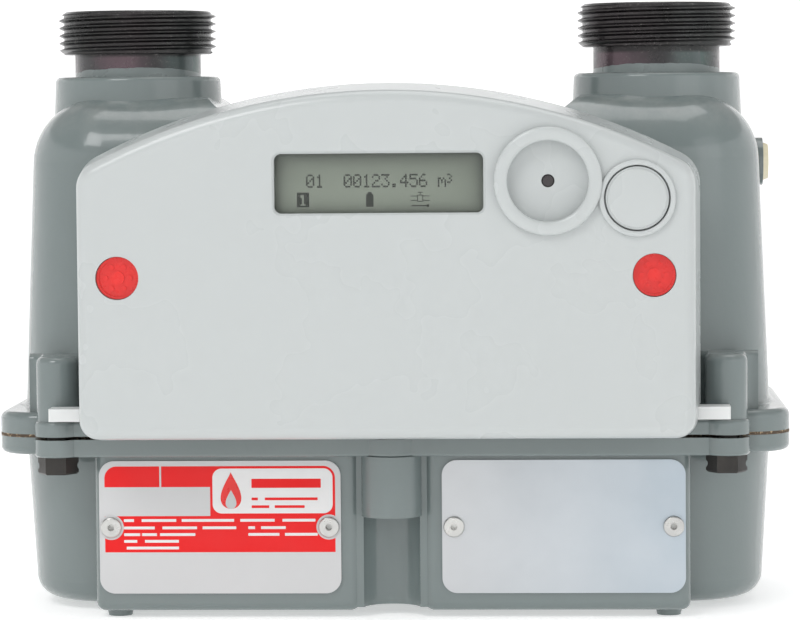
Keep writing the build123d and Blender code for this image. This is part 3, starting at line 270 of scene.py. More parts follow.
FLOAT, VECTOR = "NodeSocketFloat", "NodeSocketVector"
DUST: Colour = (0.62, 0.60, 0.56)


class SharedEffects:
    """The node groups that more than one finish uses."""

    def __init__(self) -> None:
        """Builds each group once."""
        self.grain = self.build_grain()
        self.dust = self.build_dust()
        self.field = self.build_field()

    @staticmethod
    def build_grain() -> bpy.types.NodeTree:
        """Builds the surface grain: broad tone, fine relief and a roughness mask.

        Returns:
            The group, with outputs Tone, Relief and Smudge.
        """
        bench, inside, outside = new_group("Surface Grain", (
            GroupSocket("Place", VECTOR),
            GroupSocket("Broad Scale", FLOAT, 12.0),
            GroupSocket("Fine Scale", FLOAT, 900.0),
            GroupSocket("Tone", FLOAT, is_output=True),
            GroupSocket("Relief", FLOAT, is_output=True),
            GroupSocket("Smudge", FLOAT, is_output=True),
        ))
        place = inside.outputs["Place"]
        tone = bench.noise(place, inside.outputs["Broad Scale"], 4.0, 0.55)
        fine = bench.noise(place, inside.outputs["Fine Scale"], 3.0, 0.5)
        broad = bench.noise(place, bench.maths("MULTIPLY", inside.outputs["Broad Scale"], 3.7), 3.0, 0.6)
        bench.join(bench.remap(tone, 0.2, 0.8, 0.0, 1.0, soft=True), outside.inputs["Tone"])
        bench.join(fine, outside.inputs["Relief"])
        bench.join(bench.remap(broad, 0.2, 0.8, 0.0, 1.0, soft=True), outside.inputs["Smudge"])
        return bench.tree

    @staticmethod
    def build_dust() -> bpy.types.NodeTree:
        """Builds the dust that settles on faces that look up.

        Returns:
            The group, with the output Mask.
        """
        bench, inside, outside = new_group("Settled Dust", (
            GroupSocket("Place", VECTOR),
            GroupSocket("Amount", FLOAT, 0.3),
            GroupSocket("Mask", FLOAT, is_output=True),
        ))
        _, _, up = bench.split(bench.add("ShaderNodeNewGeometry").outputs["Normal"])
        facing = bench.remap(up, 0.35, 0.95, 0.0, 1.0)
        cloud = bench.remap(bench.noise(inside.outputs["Place"], 160.0, 5.0, 0.62), 0.35, 0.7, 0.15, 1.0)
        mask = bench.maths("MULTIPLY", bench.maths("MULTIPLY", facing, cloud), inside.outputs["Amount"])
        bench.join(mask, outside.inputs["Mask"])
        return bench.tree

    @staticmethod
    def build_field() -> bpy.types.NodeTree:
        """Builds a printed field: a rectangle with rounded corners seen from the front.

        Returns:
            The group, with the output Mask, 1 inside the field.
        """
        bench, inside, outside = new_group("Printed Field", (
            GroupSocket("Place", VECTOR),
            GroupSocket("Middle X", FLOAT),
            GroupSocket("Middle Z", FLOAT),
            GroupSocket("Half Width", FLOAT, 0.01),
            GroupSocket("Half Height", FLOAT, 0.01),
            GroupSocket("Corner", FLOAT, 0.0005),
            GroupSocket("Mask", FLOAT, is_output=True),
        ))
        x, _, z = bench.split(inside.outputs["Place"])
        corner = inside.outputs["Corner"]
        beyond = []
        for value, middle, half in ((x, "Middle X", "Half Width"), (z, "Middle Z", "Half Height")):
            reach = bench.maths("ABSOLUTE", bench.maths("SUBTRACT", value, inside.outputs[middle]))
            room = bench.maths("SUBTRACT", inside.outputs[half], corner)
            beyond.append(bench.maths("MAXIMUM", bench.maths("SUBTRACT", reach, room), 0.0))
        squares = [bench.maths("MULTIPLY", value, value) for value in beyond]
        distance = bench.maths("SQRT", bench.maths("ADD", *squares))
        edge = bench.maths("SUBTRACT", distance, corner)
        bench.join(bench.remap(edge, -0.00004, 0.00004, 1.0, 0.0), outside.inputs["Mask"])
        return bench.tree

    def grained(self, bench: NodeBench, place: object, broad: float, fine: float) -> bpy.types.Node:
        """Places the surface grain in a material.

        Args:
            bench: The material's bench.
            place: Socket with the place.
            broad: Scale of the broad tone.
            fine: Scale of the fine relief.

        Returns:
            The group's node.
        """
        return self.use(bench, self.grain, Place=place, Broad_Scale=broad, Fine_Scale=fine)

    def use(self, bench: NodeBench, group: bpy.types.NodeTree, **inputs: object) -> bpy.types.Node:
        """Places a group in a material.

        Args:
            bench: The material's bench.
            group: The node group.
            **inputs: Values by socket name, with underscores for spaces.

        Returns:
            The group's node.
        """
        node = bench.add("ShaderNodeGroup", node_tree=group)
        for name, value in inputs.items():
            bench.join(value, node.inputs[name.replace("_", " ")])
        return node


class Relief(Enum):
    """How a finish's fine relief runs."""

    GRAINY = "grainy"
    TURNED = "turned"
    BRUSHED = "brushed"


@dataclass(frozen=True)
class Finish:
    """One plain finish: its colours, gloss and relief."""

    name: str
    colour: Colour
    shade: Colour
    roughness: float
    rougher: float
    metallic: float = 0.0
    coat: float = 0.0
    coat_roughness: float = 0.1
    ior: float = 1.45
    broad_scale: float = 12.0
    fine_scale: float = 900.0
    relief: float = 0.05
    relief_depth: float = 0.0002
    dust: float = 0.0
    kind: Relief = Relief.GRAINY
    speckle: Colour | None = None

    def build(self, shared: SharedEffects) -> bpy.types.Material:
        """Builds the material.

        Args:
            shared: The node groups that finishes share.

        Returns:
            The new material.
        """
        material, bench, shader = blank_material(self.name)
        place = bench.place()
        grain = shared.grained(bench, place, self.broad_scale, self.fine_scale)
        colour = bench.blend(grain.outputs["Tone"], rgba(self.colour), rgba(self.shade))
        if self.speckle:
            spots = bench.noise(place, self.fine_scale, 2.0, 0.7)
            colour = bench.blend(bench.remap(spots, 0.55, 0.62, 0.0, 1.0), colour, rgba(self.speckle))
        if self.dust:
            dust = shared.use(bench, shared.dust, Place=place, Amount=self.dust)
            colour = bench.blend(dust.outputs["Mask"], colour, rgba(DUST))
        bench.join(colour, shader.inputs["Base Color"])
        set_gloss(bench, shader, grain, self.roughness, self.rougher)
        shader.inputs["Metallic"].default_value = self.metallic
        shader.inputs["IOR"].default_value = self.ior
        shader.inputs["Coat Weight"].default_value = self.coat
        shader.inputs["Coat Roughness"].default_value = self.coat_roughness
        height = self.height(bench, place, grain)
        bench.join(bench.bump(height, self.relief, self.relief_depth), shader.inputs["Normal"])
        return material

    def height(self, bench: NodeBench, place: object, grain: bpy.types.Node) -> object:
        """Returns the socket that drives the relief.

        Args:
            bench: The material's bench.
            place: Socket with the place.
            grain: The grain group's node.

        Returns:
            A value socket.
        """
        if self.kind is Relief.GRAINY:
            return grain.outputs["Relief"]
        across = (0.02, 1.0, 1.0) if self.kind is Relief.BRUSHED else (0.05, 0.05, 1.0)
        return bench.noise(bench.stretched(place, across), self.fine_scale * 4, 2.0, 0.6)


def rgba(colour: Colour, share: float = 1.0) -> tuple[float, float, float, float]:
    """Adds full alpha to a colour.

    Args:
        colour: The colour.
        share: Brightness against the given colour.

    Returns:
        The colour with its alpha.
    """
    return (*(part * share for part in colour), 1.0)


def set_gloss(bench: NodeBench, shader: bpy.types.Node, grain: bpy.types.Node, low: float,
              high: float) -> None:
    """Lets the roughness wander between two values.

    Args:
        bench: The material's bench.
        shader: The Principled node.
        grain: The grain group's node.
        low: The least roughness.
        high: The greatest roughness.
    """
    bench.join(bench.remap(grain.outputs["Smudge"], 0.0, 1.0, low, high), shader.inputs["Roughness"])


def blank_material(name: str) -> tuple[bpy.types.Material, NodeBench, bpy.types.Node]:
    """Makes a material with one Principled shader.

    Args:
        name: The material's name.

    Returns:
        The material, its bench and its Principled node.
    """
    material = bpy.data.materials.new(name)
    material.use_nodes = True
    bench = NodeBench(material.node_tree)
    return material, bench, material.node_tree.nodes["Principled BSDF"]


# ---- Finishes -----------------------------------------------------------------------------------


CASE_ENAMEL = Finish("case_paint", (0.166, 0.200, 0.198), (0.156, 0.189, 0.187), 0.22, 0.26, coat=0.45,
                     coat_roughness=0.07, broad_scale=9.0, fine_scale=420.0, relief=0.16,
                     relief_depth=0.00035, dust=0.16)
COVER_GLOSS = Finish("cover_plastic", (0.480, 0.507, 0.506), (0.474, 0.501, 0.500), 0.27, 0.28, coat=0.25,
                     coat_roughness=0.09, broad_scale=8.0, fine_scale=1400.0, relief=0.03,
                     relief_depth=0.00008)
PLAIN_FINISHES = (
    COVER_GLOSS,
    CASE_ENAMEL,
    Finish("bolt_steel", (0.030, 0.029, 0.028), (0.055, 0.050, 0.045), 0.38, 0.55, metallic=0.6,
           broad_scale=60.0, fine_scale=1500.0, relief=0.25, relief_depth=0.0001, dust=0.1),
    Finish("screw_steel", (0.60, 0.60, 0.58), (0.46, 0.46, 0.45), 0.22, 0.38, metallic=1.0,
           broad_scale=90.0, fine_scale=1800.0, relief=0.2, relief_depth=0.0001),
    Finish("gasket_fibre", (0.105, 0.075, 0.052), (0.065, 0.045, 0.032), 0.8, 0.95, broad_scale=220.0,
           fine_scale=1300.0, relief=0.8, relief_depth=0.0003, speckle=(0.36, 0.27, 0.17)),
    Finish("tray_plastic", (0.70, 0.715, 0.71), (0.66, 0.675, 0.67), 0.38, 0.5, broad_scale=14.0,
           fine_scale=1600.0, relief=0.12, relief_depth=0.0001),
    Finish("seal_rubber", (0.018, 0.018, 0.019), (0.03, 0.03, 0.03), 0.55, 0.75, fine_scale=1500.0,
           relief=0.3, relief_depth=0.0001),
    Finish("plug_red", (0.74, 0.012, 0.008), (0.62, 0.008, 0.006), 0.24, 0.34, coat=0.35,
           broad_scale=120.0, fine_scale=1500.0, relief=0.08, relief_depth=0.00008),
    Finish("port_dark", (0.012, 0.010, 0.012), (0.025, 0.018, 0.02), 0.12, 0.2, coat=0.6,
           broad_scale=300.0, fine_scale=1500.0, relief=0.05),
    Finish("tinned_metal", (0.74, 0.73, 0.70), (0.62, 0.61, 0.58), 0.25, 0.42, metallic=1.0,
           broad_scale=60.0, fine_scale=900.0, relief=0.15, relief_depth=0.0001, kind=Relief.BRUSHED),
    Finish("cell_sleeve", (0.055, 0.20, 0.085), (0.04, 0.15, 0.06), 0.28, 0.4, coat=0.3,
           broad_scale=40.0, fine_scale=800.0, relief=0.1),
    Finish("dark_plastic", (0.022, 0.022, 0.024), (0.035, 0.035, 0.037), 0.42, 0.6, fine_scale=1600.0,
           relief=0.25, relief_depth=0.0001),
    Finish("tube_plastic", (0.25, 0.25, 0.245), (0.20, 0.20, 0.198), 0.48, 0.65, broad_scale=50.0,
           fine_scale=1300.0, relief=0.3, relief_depth=0.0001),
    Finish("brass", (0.72, 0.49, 0.17), (0.56, 0.37, 0.12), 0.22, 0.4, metallic=1.0, broad_scale=80.0,
           fine_scale=900.0, relief=0.25, relief_depth=0.0001, kind=Relief.TURNED),
    Finish("cream_plastic", (0.72, 0.67, 0.50), (0.66, 0.60, 0.42), 0.4, 0.52, broad_scale=70.0,
           fine_scale=1500.0, relief=0.2, relief_depth=0.0001),
    Finish("lead_sleeve", (0.40, 0.020, 0.016), (0.30, 0.014, 0.012), 0.42, 0.55, broad_scale=90.0,
           fine_scale=1500.0, relief=0.15, relief_depth=0.0001),
)


@dataclass(frozen=True)
class BluedSteel:
    """Blackened steel with heat tint on the neck and a line of grey enamel below it."""

    paint_line: float
    middle_y: float
    neck_radius: float
    front_rise: float = 2.2 * MM
    neck_height: float = 5.8 * MM
    name: str = "ferrule_steel"
    black: Colour = (0.020, 0.019, 0.019)
    worn: Colour = (0.160, 0.150, 0.145)
    tints: tuple[Colour, ...] = ((0.090, 0.130, 0.122), (0.050, 0.052, 0.054), (0.120, 0.080, 0.095),
                                 (0.034, 0.032, 0.034), (0.070, 0.092, 0.090), (0.110, 0.135, 0.136))

    def build(self, shared: SharedEffects) -> bpy.types.Material:
        """Builds the material.

        Args:
            shared: The node groups that finishes share.

        Returns:
            The new material.
        """
        material, bench, shader = blank_material(self.name)
        place = bench.place()
        grain = shared.grained(bench, place, 35.0, 1500.0)
        x, y, z = bench.split(place)
        wander = bench.maths("MULTIPLY", bench.noise(place, 70.0, 3.0), 0.35)
        turn = bench.maths("ADD", bench.maths("MULTIPLY", bench.maths("ADD", x, y), 21.0), wander)
        ramp = bench.add("ShaderNodeValToRGB")
        ramp.color_ramp.interpolation = "EASE"
        for index, tint in enumerate(self.tints):
            at = index / (len(self.tints) - 1)
            stop = ramp.color_ramp.elements[index] if index < 2 else ramp.color_ramp.elements.new(at)
            stop.position = at
            stop.color = rgba(tint)
        bench.join(bench.maths("FRACT", turn), ramp.inputs[0])
        neck_top = self.paint_line + self.neck_height
        on_neck = bench.remap(z, neck_top - 0.8 * MM, neck_top, 1.0, 0.12)
        steel = bench.blend(bench.maths("MULTIPLY", on_neck, 0.85), rgba(self.black), ramp.outputs[0])
        specks = bench.remap(bench.noise(place, 1300.0, 3.0, 0.7), 0.60, 0.72, 0.0, 0.75)
        steel = bench.blend(specks, steel, rgba(self.worn))
        ahead = bench.maths("SUBTRACT", self.middle_y, y)
        toward_front = bench.maths("DIVIDE", ahead, self.neck_radius, clamp=True)
        rise = bench.maths("ADD", bench.maths("MULTIPLY", toward_front, self.front_rise),
                           bench.maths("MULTIPLY", grain.outputs["Smudge"], 0.0006))
        line = bench.maths("ADD", rise, self.paint_line)
        painted = bench.maths("LESS_THAN", z, line)
        bench.join(bench.blend(painted, steel, rgba(CASE_ENAMEL.colour)), shader.inputs["Base Color"])
        bench.join(bench.remap(painted, 0.0, 1.0, 0.75, 0.0), shader.inputs["Metallic"])
        set_gloss(bench, shader, grain, 0.20, 0.42)
        shader.inputs["Coat Weight"].default_value = 0.3
        shader.inputs["Coat Roughness"].default_value = 0.15
        bench.join(bench.bump(grain.outputs["Relief"], 0.35, 0.00012), shader.inputs["Normal"])
        return material


@dataclass(frozen=True)
class ClearPane:
    """Clear moulded plastic with a faint tint and faint scratches."""

    name: str = "display_pane"
    tint: Colour = (0.22, 0.24, 0.22)
    cover: float = 0.04

    def build(self, shared: SharedEffects) -> bpy.types.Material:
        """Builds the material.

        Args:
            shared: The node groups that finishes share.

        Returns:
            The new material.
        """
        material, bench, shader = blank_material(self.name)
        place = bench.place()
        grain = shared.grained(bench, place, 60.0, 2200.0)
        colour = bench.blend(grain.outputs["Tone"], rgba(self.tint), rgba(self.tint, 0.97))
        bench.join(colour, shader.inputs["Base Color"])
        set_gloss(bench, shader, grain, 0.02, 0.06)
        shader.inputs["Alpha"].default_value = self.cover
        return material


@dataclass(frozen=True)
class DisplayGlass:
    """The liquid-crystal panel: grey-green, with painted shade towards its frame and a painted shadow at
    the top.
    """

    middle: Point
    half_width: float
    half_height: float
    name: str = "display_body"
    colour: Colour = (0.215, 0.246, 0.202)
    # Colour of the painted shade towards the frame.
    frame_shade: Colour = (0.100, 0.116, 0.098)

    def build(self, shared: SharedEffects) -> bpy.types.Material:
        """Builds the material.

        Args:
            shared: The node groups that finishes share.

        Returns:
            The new material.
        """
        material, bench, shader = blank_material(self.name)
        place = bench.place()
        grain = shared.grained(bench, place, 45.0, 2600.0)
        x, _, z = bench.split(place)
        aside = bench.maths("DIVIDE", bench.maths("ABSOLUTE", bench.maths("SUBTRACT", x, self.middle[0])),
                            self.half_width)
        lift = bench.maths("DIVIDE", bench.maths("SUBTRACT", z, self.middle[2]), self.half_height)
        # Painted shade that darkens the panel towards its frame, and a painted shadow that grows towards
        # the top.
        edge = bench.maths("MAXIMUM", bench.maths("POWER", aside, 9.0),
                           bench.maths("POWER", bench.maths("ABSOLUTE", lift), 5.0), clamp=True)
        shadow = bench.remap(lift, -0.2, 1.0, 0.0, 0.45)
        shade = bench.maths("ADD", bench.maths("MULTIPLY", edge, 0.75), shadow, clamp=True)
        body = bench.blend(grain.outputs["Tone"], rgba(self.colour), rgba(self.colour, 0.93))
        bench.join(bench.blend(shade, body, rgba(self.frame_shade)), shader.inputs["Base Color"])
        set_gloss(bench, shader, grain, 0.32, 0.42)
        return material


@dataclass(frozen=True)
class BrushedPlate:
    """Satin aluminium sheet, brushed along X, with a cool tint that grows to one side."""

    middle: Point
    half_width: float
    name: str = "plate_metal"
    warm: Colour = (0.480, 0.490, 0.500)
    cool: Colour = (0.395, 0.460, 0.515)
    pale: Colour = (0.660, 0.680, 0.700)

    def build(self, shared: SharedEffects) -> bpy.types.Material:
        """Builds the material.

        Args:
            shared: The node groups that finishes share.

        Returns:
            The new material.
        """
        material, bench, shader = blank_material(self.name)
        place = bench.place()
        grain = shared.grained(bench, place, 28.0, 2400.0)
        x, _, _ = bench.split(place)
        aside = bench.remap(x, self.middle[0] - self.half_width, self.middle[0] + self.half_width, 0.0, 1.0)
        colour = bench.blend(aside, rgba(self.warm), rgba(self.cool))
        cloud = bench.maths("MULTIPLY", grain.outputs["Tone"], 0.35)
        bench.join(bench.blend(cloud, colour, rgba(self.pale)), shader.inputs["Base Color"])
        set_gloss(bench, shader, grain, 0.36, 0.48)
        shader.inputs["Metallic"].default_value = 0.55
        lines = bench.noise(bench.stretched(place, (0.02, 1.0, 1.0)), 5200.0, 2.0, 0.6)
        bench.join(bench.bump(lines, 0.18, 0.00008), shader.inputs["Normal"])
        return material


class Ink(Enum):
    """The colours that a plate is printed in; bare metal is the sheet's own colour."""

    RED = (0.740, 0.004, 0.005)
    WHITE = (0.730, 0.730, 0.730)
    BARE = (0.560, 0.565, 0.570)


@dataclass(frozen=True)
class PrintedBlock:
    """One printed field of the rating plate, measured from the plate's middle in millimetres."""

    left: float
    right: float
    bottom: float
    top: float
    ink: Ink
    corner: float = 0.06


@dataclass(frozen=True)
class WordRow:
    """A row of short plain bars where the plate carries its data, without any lettering."""

    left: float
    right: float
    height: float
    ink: Ink
    size: float = 0.78
    solid: bool = False


@dataclass(frozen=True)
class PrintedPlate:
    """The rating plate: light sheet with red and white fields and rows of plain bars."""

    middle: Point
    rivet_offset: float
    name: str = "rating_print"
    clearing: float = 3.55 * MM
    blocks: tuple[PrintedBlock, ...] = (
        PrintedBlock(-32.6, 32.6, -7.1, 17.3, Ink.RED, 3.4),
        PrintedBlock(-32.6, 32.6, -7.1, 0.0, Ink.RED),
        PrintedBlock(-33.6, -2.7, 3.2, 11.4, Ink.BARE),
        PrintedBlock(-17.0, -16.5, 11.4, 17.4, Ink.BARE),
        PrintedBlock(-2.0, 31.9, 3.9, 16.6, Ink.WHITE, 2.6),
        PrintedBlock(-33.6, 33.6, -10.6, -7.1, Ink.BARE),
    )
    rows: tuple[WordRow, ...] = (
        WordRow(-27.2, 27.0, 1.95, Ink.WHITE),
        WordRow(-27.2, 4.6, -0.15, Ink.WHITE),
        WordRow(8.0, 18.6, -0.15, Ink.WHITE),
        WordRow(-27.2, -7.0, -2.05, Ink.WHITE),
        WordRow(8.0, 27.6, -2.05, Ink.WHITE),
        WordRow(-27.2, -10.0, -3.95, Ink.WHITE),
        WordRow(-27.2, -10.0, -5.85, Ink.WHITE),
        WordRow(9.0, 28.6, 8.0, Ink.RED),
        WordRow(9.0, 24.0, 5.8, Ink.RED),
        WordRow(9.0, 28.6, 12.4, Ink.RED, 2.6, solid=True),
    )

    def build(self, shared: SharedEffects) -> bpy.types.Material:
        """Builds the material.

        Args:
            shared: The node groups that finishes share.

        Returns:
            The new material.
        """
        material, bench, shader = blank_material(self.name)
        place = bench.place()
        grain = shared.grained(bench, place, 30.0, 2400.0)
        colour = rgba(Ink.BARE.value)
        for block in self.blocks:
            mask = self.field(bench, shared, place, block)
            colour = bench.blend(mask, colour, rgba(block.ink.value))
        for row in self.rows:
            mask = self.row_mask(bench, shared, place, row)
            colour = bench.blend(mask, colour, rgba(row.ink.value))
        colour = bench.blend(self.rivet_clearings(bench, place), colour, rgba(Ink.BARE.value))
        worn = bench.maths("MULTIPLY", grain.outputs["Tone"], 0.06)
        bench.join(bench.blend(worn, colour, rgba((0.30, 0.30, 0.30))), shader.inputs["Base Color"])
        set_gloss(bench, shader, grain, 0.46, 0.54)
        shader.inputs["Specular IOR Level"].default_value = 0.25
        bench.join(bench.bump(grain.outputs["Relief"], 0.1, 0.00006), shader.inputs["Normal"])
        return material

    def field(self, bench: NodeBench, shared: SharedEffects, place: object, block: PrintedBlock) -> object:
        """Adds one rounded field.

        Args:
            bench: The material's bench.
            shared: The node groups that finishes share.
            place: Socket with the place.
            block: The field's edges and corner.

        Returns:
            The field's mask socket.
        """
        node = shared.use(bench, shared.field, Place=place,
                          Middle_X=self.middle[0] + (block.left + block.right) / 2 * MM,
                          Middle_Z=self.middle[2] + (block.bottom + block.top) / 2 * MM,
                          Half_Width=(block.right - block.left) / 2 * MM,
                          Half_Height=(block.top - block.bottom) / 2 * MM,
                          Corner=block.corner * MM)
        return node.outputs["Mask"]

    def row_mask(self, bench: NodeBench, shared: SharedEffects, place: object, row: WordRow) -> object:
        """Adds one row of bars, broken into unequal lengths.

        Args:
            bench: The material's bench.
            shared: The node groups that finishes share.
            place: Socket with the place.
            row: The row.

        Returns:
            The row's mask socket.
        """
        half = row.size / 2
        mask = self.field(bench, shared, place, PrintedBlock(row.left, row.right, row.height - half,
                                                             row.height + half, row.ink, 0.2))
        if row.solid:
            return mask
        x, _, _ = bench.split(place)
        along = bench.maths("MULTIPLY", bench.maths("ADD", x, row.height * 0.37), 1100.0)
        broken = bench.maths("ADD", bench.maths("SINE", along),
                             bench.maths("SINE", bench.maths("MULTIPLY", along, 0.437)))
        return bench.maths("MULTIPLY", mask, bench.remap(broken, -1.25, -1.15, 0.0, 1.0))

    def rivet_clearings(self, bench: NodeBench, place: object) -> object:
        """Adds the round places round both rivets that stay bare.

        Args:
            bench: The material's bench.
            place: Socket with the place.

        Returns:
            The mask socket.
        """
        x, _, z = bench.split(place)
        lift = bench.maths("SUBTRACT", z, self.middle[2])
        aside = bench.maths("SUBTRACT", bench.maths("ABSOLUTE", bench.maths("SUBTRACT", x, self.middle[0])),
                            self.rivet_offset)
        distance = bench.maths("SQRT", bench.maths("ADD", bench.maths("MULTIPLY", lift, lift),
                                                   bench.maths("MULTIPLY", aside, aside)))
        return bench.remap(distance, self.clearing - 0.00004, self.clearing + 0.00004, 1.0, 0.0)


@dataclass(frozen=True)
class BoardLaminate:
    """Green solder mask over copper tracks."""

    name: str = "board_laminate"
    mask: Colour = (0.010, 0.085, 0.032)
    track: Colour = (0.022, 0.150, 0.052)
    shade: Colour = (0.0, 0.05, 0.02)

    def build(self, shared: SharedEffects) -> bpy.types.Material:
        """Builds the material.

        Args:
            shared: The node groups that finishes share.

        Returns:
            The new material.
        """
        material, bench, shader = blank_material(self.name)
        place = bench.place()
        grain = shared.grained(bench, place, 40.0, 1600.0)
        cells = bench.add("ShaderNodeTexVoronoi", distance="MANHATTAN")
        bench.join(place, cells.inputs["Vector"])
        cells.inputs["Scale"].default_value = 260.0
        tracks = bench.remap(cells.outputs["Distance"], 0.42, 0.5, 0.0, 1.0)
        colour = bench.blend(tracks, rgba(self.mask), rgba(self.track))
        cloud = bench.maths("MULTIPLY", grain.outputs["Tone"], 0.2)
        bench.join(bench.blend(cloud, colour, rgba(self.shade)), shader.inputs["Base Color"])
        set_gloss(bench, shader, grain, 0.28, 0.4)
        bench.join(bench.bump(tracks, 0.3, 0.00006), shader.inputs["Normal"])
        return material


DISPLAY_INK = Finish("display_ink", (0.020, 0.024, 0.020), (0.035, 0.040, 0.034), 0.4, 0.5,
                     broad_scale=300.0, fine_scale=2500.0, relief=0.05)


# ---- Mesh helpers -------------------------------------------------------------------------------


def mesh_object(name: str, mesh: bpy.types.Mesh, material: bpy.types.Material) -> bpy.types.Object:
    """Makes an object of a finished mesh and links it to the scene.

    Args:
        name: The object's name.
        mesh: Its mesh, in the row frame.
        material: Its finish.

    Returns:
        The new object.
    """
    mesh.materials.clear()
    mesh.materials.append(material)
    made = bpy.data.objects.new(name, mesh)
    bpy.context.scene.collection.objects.link(made)
    return made


def shaped(name: str, shapes: bmesh.types.BMesh, material: bpy.types.Material) -> bpy.types.Object:
    """Turns a mesh being built into an object, and frees it.

    Args:
        name: The object's name.
        shapes: The mesh being built.
        material: Its finish.

    Returns:
        The new object.
    """
    mesh = bpy.data.meshes.new(name)
    shapes.to_mesh(mesh)
    shapes.free()
    return mesh_object(name, mesh, material)


def baked(source: bpy.types.Object, name: str, material: bpy.types.Material) -> bpy.types.Object:
    """Turns an object with modifiers into a plain mesh object, and removes the source.

    Args:
        source: The object with its modifiers.
        name: The new object's name.
        material: Its finish.

    Returns:
        The plain mesh object.
    """
    graph = bpy.context.evaluated_depsgraph_get()
    mesh = bpy.data.meshes.new_from_object(source.evaluated_get(graph), depsgraph=graph)
    source.modifiers.clear()
    bpy.data.objects.remove(source)
    mesh.name = name
    return mesh_object(name, mesh, material)


class ScatterTree:
    """A Geometry Nodes tree that sets a small block on every point of a mesh."""

    def __init__(self, name: str) -> None:
        """Builds the tree.

        Args:
            name: The tree's name.
        """
        tree = bpy.data.node_groups.new(name, "GeometryNodeTree")
        face = tree.interface
        face.new_socket("Geometry", in_out="INPUT", socket_type="NodeSocketGeometry")
        for socket_name, kind in (("Width", FLOAT), ("Thickness", FLOAT), ("Height", FLOAT),
                                  ("Variation", FLOAT), ("Finish", "NodeSocketMaterial")):
            face.new_socket(socket_name, in_out="INPUT", socket_type=kind)
        face.new_socket("Seed", in_out="INPUT", socket_type="NodeSocketInt")
        face.new_socket("Geometry", in_out="OUTPUT", socket_type="NodeSocketGeometry")
        self.tree = tree
        bench = NodeBench(tree)
        inside, outside = bench.add("NodeGroupInput"), bench.add("NodeGroupOutput")
        points = bench.add("GeometryNodeMeshToPoints")
        size = bench.add("ShaderNodeCombineXYZ")
        for index, socket_name in enumerate(("Width", "Thickness", "Height")):
            bench.join(inside.outputs[socket_name], size.inputs[index])
        block = bench.add("GeometryNodeMeshCube")
        bench.join(size.outputs[0], block.inputs["Size"])
        spread = bench.add("FunctionNodeRandomValue", data_type="FLOAT_VECTOR")
        low = bench.maths("SUBTRACT", 1.0, inside.outputs["Variation"])
        high = bench.maths("ADD", 1.0, inside.outputs["Variation"])
        for value, socket in ((low, spread.inputs[0]), (high, spread.inputs[1])):
            triple = bench.add("ShaderNodeCombineXYZ")
            bench.join(value, triple.inputs[0])
            triple.inputs[1].default_value = 1.0
            bench.join(value, triple.inputs[2])
            bench.join(triple.outputs[0], socket)
        bench.join(inside.outputs["Seed"], spread.inputs["Seed"])
        place = bench.add("GeometryNodeInstanceOnPoints")
        real = bench.add("GeometryNodeRealizeInstances")
        dress = bench.add("GeometryNodeSetMaterial")
        bench.join(inside.outputs["Geometry"], points.inputs["Mesh"])
        bench.join(points.outputs[0], place.inputs["Points"])
        bench.join(block.outputs["Mesh"], place.inputs["Instance"])
        bench.join(spread.outputs[0], place.inputs["Scale"])
        bench.join(place.outputs[0], real.inputs[0])
        bench.join(real.outputs[0], dress.inputs["Geometry"])
        bench.join(inside.outputs["Finish"], dress.inputs["Material"])
        bench.join(dress.outputs[0], outside.inputs["Geometry"])

    def scatter(self, name: str, points: list[Point], size: Point, material: bpy.types.Material,
                variation: float = 0.0, seed: int = 0) -> bpy.types.Object:
        """Sets a block on each point and returns the plain mesh.

        Args:
            name: The piece's name.
            points: The places of the blocks' middles, in metres.
            size: Width, thickness and height of a block.
            material: The blocks' finish.
            variation: Share by which a block's width and height may differ.
            seed: Seed of the variation.

        Returns:
            The piece, as a plain mesh.
        """
        mesh = bpy.data.meshes.new(name + "_points")
        mesh.from_pydata(points, [], [])
        source = mesh_object(name + "_source", mesh, material)
        modifier = source.modifiers.new("scatter", "NODES")
        modifier.node_group = self.tree
        values = {"Width": size[0], "Thickness": size[1], "Height": size[2], "Variation": variation,
                  "Finish": material, "Seed": seed}
        for item in self.tree.interface.items_tree:
            if item.in_out == "INPUT" and item.name in values:
                modifier[item.identifier] = values[item.name]
        return baked(source, name, material)


# ---- Display ------------------------------------------------------------------------------------


class Glyph(Enum):
    """Dot patterns of the display's figures and symbols, five dots wide, top row first."""

    ZERO = (".###.", "#...#", "#..##", "#.#.#", "##..#", "#...#", ".###.")
    ONE = ("..#..", ".##..", "..#..", "..#..", "..#..", "..#..", ".###.")
    TWO = (".###.", "#...#", "....#", "..##.", ".#...", "#....", "#####")
    THREE = ("#####", "...#.", "..#..", "...#.", "....#", "#...#", ".###.")
    FOUR = ("...#.", "..##.", ".#.#.", "#..#.", "#####", "...#.", "...#.")
    FIVE = ("#####", "#....", "####.", "....#", "....#", "#...#", ".###.")
    SIX = ("..##.", ".#...", "#....", "####.", "#...#", "#...#", ".###.")
    SEVEN = ("#####", "....#", "...#.", "..#..", ".#...", ".#...", ".#...")
    EIGHT = (".###.", "#...#", "#...#", ".###.", "#...#", "#...#", ".###.")
    POINT = (".....", ".....", ".....", ".....", ".....", ".##..", ".##..")
    METRE = (".....", ".....", "##.#.", "#.#.#", "#.#.#", "#...#", "#...#")
    CUBED = ("##...", "..#..", ".#...", "..#..", "##...", ".....", ".....")
    SPACE = (".....",) * 7


